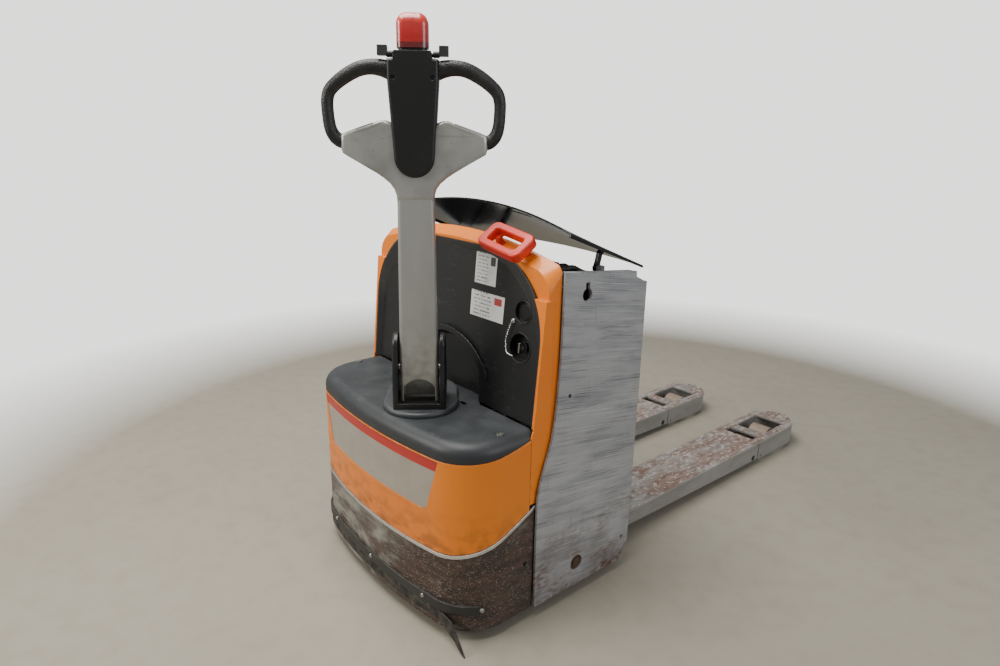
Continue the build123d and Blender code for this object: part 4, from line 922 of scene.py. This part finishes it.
@dataclass
class DriveSection:
    """The painted and moulded skin of the drive section, and what stands inside it."""

    shell_grime: Point2 = (0.34, 0.22)
    hoop_grime: Point2 = (0.42, 0.30)
    worn_corner: Point2 = (0.04, 0.19)
    band_bottom: float = 0.4235

    def dress_skin(self) -> None:
        """Give the outer panels their paint and plastic."""
        shell = GlossShell("lacquered orange GRP", "#E47C00", "#D46600", *self.shell_grime)
        dress(shell.build(), "bonnet")
        hoop = GlossShell("lacquered orange GRP hoop", "#EC8000", "#DC6A00", *self.hoop_grime)
        dress(hoop.build(), "console_hoop")
        enamel = ScuffedApron("grey enamel apron", "#8C8983", *self.worn_corner)
        dress(enamel.build(), "apron")
        dress(Metal("pressed aluminium trim", "#D9DADA", 0.30, Along.WIDTH).build(), "apron_rim")
        plate = NamePlate("printed name plate", "#9C9488", "#B01A10", self.band_bottom)
        dress(plate.build(), "emblem_plate")
        grained = MouldedGrain("slate grey grained ABS", "#272A2D", 2.0, 0.12, 0.46, "#63686B", 0.20)
        dress(grained.build(), "deck_cover")
        strip = MouldedGrain("black PA strip", "#232323", 1.4, 0.10, 0.5, "#6B665C", 0.4)
        dress(strip.build(), "guard_strip")
        dress(Elastomer("torn black rubber", "#1D1C1B", 3.0, 0.15).build(), "rubber_skirt")
        zinc = Metal("zinc plated steel fasteners", "#A9A9A4", 0.36, Along.WIDTH)
        dress(zinc.build(), "screws_and_rivets")

    def dress_inside(self) -> None:
        """Give the frame, hydraulics and drive unit their finishes."""
        black = CastSkin("black chassis paint", "#1B1B1C", 0.1).build()
        dress(black, "drive_frame", "drive_motor")
        dress(CastSkin("grey cast gear housing", "#6A6B6C", 0.5).build(), "gearbox", "drive_hub")
        dress(CastSkin("cast aluminium pump", "#9C9D9C", 0.7).build(), "power_pack")
        dress(CastSkin("black anodised controller", "#26272A", 0.6).build(), "controller")
        dress(Metal("hard chrome rams", "#D8D9DA", 0.08, Along.WIDTH).build(), "lift_rams")
        dress(CastSkin("black cylinder paint", "#202122", 0.2).build(), "lift_cylinders")
        ground = Metal("ground steel", "#9A9A98", 0.28, Along.WIDTH).build()
        dress(ground, "steering_bearing", "tiller_pin", "cross_shaft")
        tread = Elastomer("brown polyurethane tread", "#6E4426", 5.0, 0.12, 0.55)
        dress(tread.build(), "drive_tyre")
        soft = Elastomer("grey polyurethane caster", "#6A6A68", 4.0, 0.10, 0.5)
        dress(soft.build(), "caster_wheel_left", "caster_wheel_right")
        zinc = Metal("zinc plated caster forks", "#A4A49E", 0.34, Along.HEIGHT).build()
        dress(zinc, "caster_fork_left", "caster_fork_right")

    def build(self) -> None:
        """Dress the whole drive section."""
        self.dress_skin()
        self.dress_inside()
        log.info("drive section dressed")


@dataclass
class Console:
    """The recessed console: its panel, fittings, labels and the key's chain."""

    label_w: float = 0.079
    label_h: float = 0.076
    wide_w: float = 0.124
    wide_h: float = 0.063
    label_t: float = 0.0006
    bead_r: float = 0.0021
    wire_r: float = 0.0007

    def dress_panels(self) -> None:
        """Give the console its plastics."""
        panel = MouldedGrain("charcoal grained ABS", "#121314", 1.4, 0.08, 0.44, "#5A5A56", 0.12)
        dress(panel.build(), "console_panel")
        bezel = MouldedGrain("dark grey grained ABS", "#2B2C2D", 1.4, 0.08, 0.42, "#6B6B6C", 0.16)
        dress(bezel.build(), "console_bezel")
        cups = MouldedGrain("satin black PA", "#121213", 1.0, 0.04, 0.35, "#5A5A58", 0.15)
        dress(cups.build(), "battery_gauge", "key_switch")
        dress(Metal("nickel plated key", "#B9B8B3", 0.25, Along.HEIGHT).build(), "key")
        red = GlossShell("red moulded PA", "#D42408", "#B01A04", 0.5, 0.4)
        dress(red.build(), "stop_handle")

    def facing(self) -> tuple[Vector, Vector, Vector]:
        """Return the console's outward normal, its width and its rise, from the key's joint."""
        out = Vector(joint("key_turn")["axis"])
        width = Vector((1, 0, 0))
        rise = out.cross(width)
        return out, width, rise * -1.0 if rise.z < 0 else rise

    def on_panel(self, x: float, z: float) -> Vector:
        """Return the point of the panel's face at a width and a height."""
        out, _, rise = self.facing()
        key = Vector(joint("key_turn")["pos_m"])
        step = (z - key.z) / rise.z
        return Vector((x, key.y, key.z)) + rise * step

    def label(self, name: str, x: float, z: float, w: float, h: float, finish: PrintedLabel) -> None:
        """Stick one label on the console panel.

        Args:
            name: The piece's name.
            x: Width of its middle.
            z: Height of its middle.
            w: Its width.
            h: Its height.
            finish: Its print.
        """
        out, width, rise = self.facing()
        centre = self.on_panel(x, z)
        mesh = bmesh.new()
        layer = mesh.loops.layers.uv.new("print")
        steps = 6
        rows = []
        for j in range(steps + 1):
            row = []
            for i in range(steps + 1):
                u, v = i / steps, j / steps
                lift = self.label_t * (1.0 + 0.6 * math.sin(7 * u) * math.sin(5 * v))
                point = centre + width * (u - 0.5) * w + rise * (v - 0.5) * h + out * lift
                row.append(mesh.verts.new(point))
            rows.append(row)
        for j in range(steps):
            for i in range(steps):
                mesh.faces.new((rows[j][i], rows[j][i + 1], rows[j + 1][i + 1], rows[j + 1][i]))
        for face in mesh.faces:
            for loop in face.loops:
                offset = loop.vert.co - centre
                loop[layer].uv = (offset.dot(width) / w + 0.5, offset.dot(rise) / h + 0.5)
        sheet = piece(name, mesh, finish.build())
        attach(sheet, "chassis")

    def chain(self) -> None:
        """Hang the key's ball chain from its hook beside the gauge down to the key."""
        out, width, rise = self.facing()
        key = Vector(joint("key_turn")["pos_m"])
        hook = self.on_panel(key.x - 0.028, key.z + 0.058) + out * 0.006
        low = self.on_panel(key.x - 0.040, key.z + 0.014) + out * 0.008
        end = self.on_panel(key.x - 0.034, key.z - 0.016) + out * 0.008
        turn = self.on_panel(key.x - 0.012, key.z - 0.020) + out * 0.010
        path = smooth_path([hook, low, end, turn], 9)
        steel = Metal("nickel ball chain", "#C9C8C2", 0.22, Along.HEIGHT).build()
        mesh = bmesh.new()
        for point in path:
            ball = bmesh.ops.create_uvsphere(mesh, u_segments=10, v_segments=6, radius=self.bead_r)
            bmesh.ops.translate(mesh, verts=ball["verts"], vec=point)
        for a, b in zip(path, path[1:]):
            rod = tube([a, b], [(self.wire_r, self.wire_r)] * 2, out, 6)
            scratch = bpy.data.meshes.new("link")
            rod.to_mesh(scratch)
            rod.free()
            mesh.from_mesh(scratch)
            bpy.data.meshes.remove(scratch)
        beads = piece("key_chain", mesh, steel)
        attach(beads, "chassis")
        profile = ((0, 0), (0.0062, 0), (0.0062, 0.003), (0.0048, 0.0052), (0, 0.0058))
        stud = crisp(piece("chain_stud", lathe(profile, 28, axes(hook - out * 0.0062, width, out)), steel))
        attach(stud, "chassis")

    def build(self) -> None:
        """Dress the console and stick its small pieces on."""
        self.dress_panels()
        data = PrintedLabel("white data label", 9.0, "#2E2E2E")
        self.label("data_label", 0.1235, 0.825, self.label_w, self.label_h, data)
        service = PrintedLabel("white service label", 7.0, "#A81E1E")
        self.label("service_label", 0.138, 0.7375, self.wide_w, self.wide_h, service)
        self.chain()
        log.info("console dressed, labels and chain placed")


@dataclass
class Tiller:
    """The steering handle: yoke, column, head shell, grips and switches."""

    neck_half: float = 0.040
    wing_half: float = 0.156
    wing_thin: float = 0.28
    shell_half: float = 0.0235
    shell_round: float = 0.009
    rib_r: float = 0.0052
    screw_x: float = 0.041
    screw_z: float = 1.243
    screw_seat: float = 0.0252

    def place(self) -> Matrix:
        """Return the tiller's own axes: X across, Y up, Z towards the operator."""
        tilt = joint("tiller_tilt")
        across = Vector(tilt["axis"])
        foot = Vector(tilt["pos_m"])
        out = Vector((0, 0, 1)).cross(across) * -1.0
        place = Matrix((across, Vector((0, 0, 1)), out)).transposed().to_4x4()
        place.translation = Vector((foot.x, foot.y, 0.0))
        return place

    def dress(self) -> None:
        """Give the tiller's CAD parts their finishes."""
        dress(SatinColumn("clear anodised column", "#A9A8A2").build(), "tiller_column")
        yoke = MouldedGrain("black painted yoke", "#0D0D0E", 1.8, 0.05, 0.34, "#6B685F", 0.2, "#8E8C86")
        dress(yoke.build(), "tiller_yoke")
        cap = MouldedGrain("dark grey swivel cap", "#2C2F32", 1.8, 0.10, 0.42, "#7C8082", 0.25)
        dress(cap.build(), "steering_cap")
        cover = MouldedGrain("black grained PA", "#0B0B0B", 1.2, 0.04, 0.42, "#3A3834", 0.12)
        dress(cover.build(), "head_cover")
        paddles = MouldedGrain("grey PA paddles", "#262627", 1.2, 0.05, 0.38, "#7B7A76", 0.25)
        dress(paddles.build(), "butterfly_switch")
        keys = MouldedGrain("grey rocker keys", "#58595B", 1.0, 0.04, 0.36)
        dress(keys.build(), "lift_button", "lower_button")
        dress(MouldedGrain("yellow horn key", "#E0A21A", 1.0, 0.04, 0.34).build(), "horn_button")
        low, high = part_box("reverse_button")
        # the lowest 10 mm of the lens get painted shade, its top a painted highlight
        lens = RedLens("red polycarbonate lens", "#B80F0A", low.z + 0.010, high.z)
        dress(lens.build(), "reverse_button")

    def head_shell(self) -> None:
        """Build the gull-wing casting that carries the grips."""
        half = [
            (0.0405, 0.990), (0.0412, 1.001), (0.0455, 1.0145), (0.0545, 1.027), (0.068, 1.0385),
            (0.084, 1.0495), (0.102, 1.0605), (0.121, 1.0715), (0.139, 1.0815), (0.1535, 1.0895),
            (0.156, 1.098), (0.1562, 1.114), (0.1545, 1.129), (0.139, 1.1355), (0.122, 1.1415),
            (0.104, 1.1475), (0.086, 1.1535), (0.072, 1.1580), (0.061, 1.1580), (0.051, 1.1545),
            (0.043, 1.1480), (0.036, 1.1400),
        ]
        outline = half + [(-x, y) for x, y in reversed(half)]
        mesh = slab(outline, -self.shell_half, self.shell_half, self.shell_round, 6, Matrix.Identity(4))
        for vert in mesh.verts:
            reach = max(0.0, abs(vert.co.x) - self.neck_half) / (self.wing_half - self.neck_half)
            vert.co.z *= 1.0 - self.wing_thin * min(1.0, reach) ** 1.5
        mesh.transform(self.place())
        paint = SprayedSilver("silver-grey metallic lacquer", "#A6A59F").build()
        shell = crisp(piece("head_shell", mesh, paint), 40.0)
        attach(shell, "tiller")
        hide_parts("tiller_head")
        for side in (-1.0, 1.0):
            self.wing_lip(side, paint)

    def wing_lip(self, side: float, paint: bpy.types.Material) -> None:
        """Run the raised rib along the upper edge of one wing.

        Args:
            side: -1 for the left wing, 1 for the right.
            paint: The casting's lacquer.
        """
        points = [
            Vector((side * 0.0555, 1.1490, 0.0165)), Vector((side * 0.067, 1.1525, 0.0180)),
            Vector((side * 0.090, 1.1455, 0.0175)), Vector((side * 0.122, 1.1345, 0.0155)),
            Vector((side * 0.150, 1.1245, 0.0130)),
        ]
        path = smooth_path(points, 8)
        count = len(path) - 1
        swell = [0.6 + 0.4 * math.sin(math.pi * i / count) for i in range(count + 1)]
        radii = [(self.rib_r * share, self.rib_r * share) for share in swell]
        mesh = tube(path, radii, Vector((0, 0, 1)), 14)
        mesh.transform(self.place())
        rib = piece("wing_rib_right" if side > 0 else "wing_rib_left", mesh, paint)
        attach(rib, "tiller")

    def grip_loops(self) -> None:
        """Build the two textured loops that the hands hold."""
        skin = Elastomer("pebbled grip rubber", "#121212", 2.6, 0.45, 0.5, "#4B4945", 0.18).build()
        centre = [
            (0.046, 1.2565), (0.066, 1.2625), (0.088, 1.2645), (0.112, 1.2605), (0.138, 1.2480),
            (0.162, 1.2310), (0.177, 1.2150), (0.1825, 1.1960), (0.1825, 1.1720), (0.1805, 1.1500),
            (0.1765, 1.1340), (0.1690, 1.1220), (0.1590, 1.1150), (0.1490, 1.1130),
        ]
        thick = [
            (0.0150, 0.0190), (0.0150, 0.0175), (0.0150, 0.0160), (0.0150, 0.0155), (0.0150, 0.0150),
            (0.0150, 0.0140), (0.0148, 0.0135), (0.0145, 0.0130), (0.0142, 0.0128), (0.0142, 0.0130),
            (0.0142, 0.0135), (0.0142, 0.0142), (0.0142, 0.0150), (0.0142, 0.0155),
        ]
        per_span = 6
        for side in (-1.0, 1.0):
            path = smooth_path([Vector((side * x, y, 0.0)) for x, y in centre], per_span)
            sizes = smooth_path([Vector((a, b, 0.0)) for a, b in thick], per_span)
            mesh = tube(path, [(v.x, v.y) for v in sizes], Vector((0, 0, 1)), 28)
            mesh.transform(self.place())
            loop = crisp(piece("grip_loop_right" if side > 0 else "grip_loop_left", mesh, skin), 60.0)
            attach(loop, "tiller")
            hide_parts("grips")

    def cover_screws(self) -> None:
        """Set a socket screw deep in each hole of the centre cover."""
        steel = Metal("blackened socket screws", "#3A3A3A", 0.4, Along.WIDTH).build()
        profile = (
            (0, 0), (0.0044, 0), (0.0044, 0.0026), (0.0038, 0.0032),
            (0.0022, 0.0032), (0.0020, 0.0012), (0, 0.0012),
        )
        for side, x in (("left", -self.screw_x), ("right", self.screw_x)):
            centre = self.place() @ Vector((x, self.screw_z, self.screw_seat))
            out = self.place().to_3x3() @ Vector((0, 0, 1))
            across = self.place().to_3x3() @ Vector((1, 0, 0))
            mesh = lathe(profile, 24, axes(centre, across, out))
            screw = crisp(piece("cover_screw_" + side, mesh, steel))
            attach(screw, "tiller")

    def build(self) -> None:
        """Dress the tiller and build its head."""
        self.dress()
        self.head_shell()
        self.grip_loops()
        self.cover_screws()
        log.info("tiller dressed, head and grips built")


@dataclass
class LoadSection:
    """The lifting part: side plates, battery, cover, forks and wheel linkage."""

    bead_steps: int = 60
    bead_r: float = 0.0019
    bead_half: float = 0.0035
    bead_inset: float = 0.004
    bead_sunk: float = 0.0012
    weld_reach: float = 1.142
    bore_back: float = 0.202
    bore_z: float = 0.094

    def dress(self) -> None:
        """Give the lifting part's CAD parts their finishes."""
        plate = WornEnamel("silver-grey enamel side plate", "#A6A7A9", 1.0, 0.26, 0.04, 0.5)
        dress(plate.build(), "side_plate_left", "side_plate_right")
        box = WornEnamel("grey enamel battery box", "#8D8F92", 0.5, 0.25, 0.08, 0.2, Along.HEIGHT)
        dress(box.build(), "battery_box")
        dress(ForkSteel("worn fork enamel", "#92908D").build(), "fork_left", "fork_right")
        case = MouldedGrain("black polypropylene cells", "#19191A", 1.4, 0.08, 0.5, "#6F6E6A", 0.35)
        dress(case.build(), "battery")
        dress(Elastomer("black cable rubber", "#141414", 2.0, 0.05, 0.5).build(), "battery_cables")
        cover = MouldedGrain("black gloss ABS cover", "#020202", 1.2, 0.01, 0.12, "#24221F", 0.05)
        dress(cover.build(), "battery_cover")
        link = CastSkin("black linkage paint", "#2A2928", 0.4).build()
        names = ["bogie", "load_arm", "push_rod"]
        dress(link, *[f"{name}_{side}" for name in names for side in ("left", "right")])
        tread = Elastomer("tan polyurethane rollers", "#857566", 3.0, 0.12, 0.5, "#5E574E", 0.5)
        ends = [f"roller_{side}_{end}" for side in ("left", "right") for end in ("rear", "front")]
        dress(tread.build(), *ends)

    def weld_beads(self) -> None:
        """Lay the rippled weld where each fork's tip is joined to its channel."""
        bead = Metal("mig weld bead", "#8F8880", 0.5, Along.WIDTH, 1.2, 0.05).build()
        for side in ("left", "right"):
            low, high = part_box("fork_" + side)
            start = low.x + self.bead_inset
            width = high.x - low.x - 2 * self.bead_inset
            path, sizes = [], []
            for i in range(self.bead_steps + 1):
                x = start + width * i / self.bead_steps
                path.append(Vector((x, low.y + self.weld_reach, high.z - self.bead_sunk)))
                ripple = self.bead_r + 0.0004 * math.sin(i * 1.9)
                sizes.append((ripple, self.bead_half + 0.0006 * math.sin(i * 2.3)))
            seam = piece(f"tip_weld_{side}", tube(path, sizes, Vector((0, 0, 1)), 10), bead)
            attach(seam, "load_frame")

    def side_bolts(self) -> None:
        """Fill the large bore of each side plate with its washer and sunk hexagon head."""
        rusted = Metal("rusted hexagon bolts", "#6E5F54", 0.55, Along.HEIGHT, 0.9, 0.04, "#4A3226", 0.7)
        steel = rusted.build()
        washer = ((0, 0), (0.0188, 0), (0.0194, 0.0006), (0.0194, 0.0020), (0.0186, 0.0026), (0, 0.0026))
        head = ((0, 0), (0.0112, 0), (0.0118, 0.0004), (0.0118, 0.0018), (0.0104, 0.0027), (0, 0.0029))
        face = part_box("battery_box")[1].y
        for side, sign in (("left", -1.0), ("right", 1.0)):
            low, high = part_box("side_plate_" + side)
            skin = high.x if sign > 0 else low.x
            out = Vector((sign, 0, 0))
            for name, profile, steps, depth in (("washer", washer, 48, 0.0056), ("bolt", head, 6, 0.0031)):
                centre = Vector((skin - sign * depth, face - self.bore_back, self.bore_z))
                place = axes(centre, Vector((0, 1, 0)), out)
                thing = crisp(piece(f"bore_{name}_{side}", lathe(profile, steps, place), steel, steps > 6))
                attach(thing, "load_frame")

    def build(self) -> None:
        """Dress the lifting part, lay its welds and set its bolts."""
        self.dress()
        self.weld_beads()
        self.side_bolts()
        log.info("lifting part dressed")


# ------------------------------------------------------------------ studio


@dataclass
class Studio:
    """Floor, light and camera."""

    eye_x: float = 1.3483
    eye_back: float = 1.3109
    eye_z: float = 1.1387
    yaw: float = 49.5
    pitch: float = 16.66
    roll: float = 0.84
    lens: float = 24.246
    floor_r: float = 2.9
    fill_level: float = 0.42
    seen_level: float = 2.2

    def floor(self) -> None:
        """Lay a round pale floor that fades into the white surroundings."""
        mesh = bmesh.new()
        bmesh.ops.create_circle(mesh, cap_ends=True, segments=96, radius=self.floor_r)
        finish = SweptFloor("pale concrete", "#979183", 0.62 * self.floor_r, 0.98 * self.floor_r)
        ground = piece("studio_floor", mesh, finish.build())

    def lamp(self, name: str, place: Vector, aim: Vector, size: float, power: float, colour: str) -> None:
        """Hang one soft rectangular light.

        Args:
            name: Its name.
            place: Where it hangs.
            aim: The point it faces.
            size: Its width.
            power: Its power in watts.
            colour: Its colour.
        """
        data = bpy.data.lights.new(name, "AREA")
        data.shape = "RECTANGLE"
        data.size = size
        data.size_y = size * 0.7
        data.energy = power
        data.color = linear(colour)[:3]
        lamp = bpy.data.objects.new(name, data)
        lamp.location = place
        lamp.rotation_euler = (aim - place).to_track_quat("-Z", "Y").to_euler()
        bpy.context.scene.collection.objects.link(lamp)

    def lights(self) -> None:
        """Light the truck softly from above and from the operator's side."""
        middle = Vector((0.0, -0.5, 0.6))
        self.lamp("overhead", Vector((-0.4, -1.2, 3.6)), middle, 2.6, 170.0, "#FFFDF8")
        self.lamp("operator_side", Vector((-1.6, -4.0, 2.4)), middle, 2.2, 105.0, "#FFF9F0")
        self.lamp("right_side", Vector((4.0, 0.6, 2.2)), middle, 2.6, 60.0, "#F6F9FF")
        world = bpy.data.worlds.new("studio")
        bpy.context.scene.world = world
        world.use_nodes = True
        sky = world.node_tree.nodes["Background"]
        sky.inputs["Color"].default_value = linear("#F2F2F0")
        # the surroundings look white, and yet fill the shadows only softly
        add = partial(add_node, world.node_tree)
        seen = add("ShaderNodeLightPath", out="Is Camera Ray")
        levels = {"Value": seen, "To Min": self.fill_level, "To Max": self.seen_level}
        level = add("ShaderNodeMapRange", levels)
        world.node_tree.links.new(level, sky.inputs["Strength"])

    def camera(self) -> None:
        """Set up the camera."""
        yaw, pitch, roll = (math.radians(v) for v in (self.yaw, self.pitch, self.roll))
        ahead = Vector((-math.sin(yaw) * math.cos(pitch), math.cos(yaw) * math.cos(pitch), -math.sin(pitch)))
        right = Vector((math.cos(yaw), math.sin(yaw), 0.0))
        up = right.cross(ahead)
        x_axis = right * math.cos(roll) + up * math.sin(roll)
        y_axis = up * math.cos(roll) - right * math.sin(roll)
        data = bpy.data.cameras.new("camera")
        data.lens = self.lens
        data.sensor_width = 36.0
        data.clip_start = 0.05
        data.clip_end = 100.0
        eye = bpy.data.objects.new("camera", data)
        eye.matrix_world = Matrix((x_axis, y_axis, -ahead)).transposed().to_4x4()
        fork_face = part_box("battery_box")[1].y
        eye.location = Vector((self.eye_x, fork_face - self.eye_back, self.eye_z))
        bpy.context.scene.collection.objects.link(eye)
        bpy.context.scene.camera = eye

    def build(self) -> None:
        """Build the studio."""
        self.floor()
        self.lights()
        self.camera()
        log.info("studio set")


def main() -> None:
    """Build every sub-assembly in order and report each piece with its finish."""
    logging.basicConfig(level=logging.INFO)
    for part in (DriveSection(), Console(), Tiller(), LoadSection(), Studio()):
        part.build()
    for thing in bpy.context.scene.objects:
        if thing.type == "MESH" and thing.active_material:
            log.info("%s: %s", thing.name, thing.active_material.name)


if __name__ == "__main__":
    main()
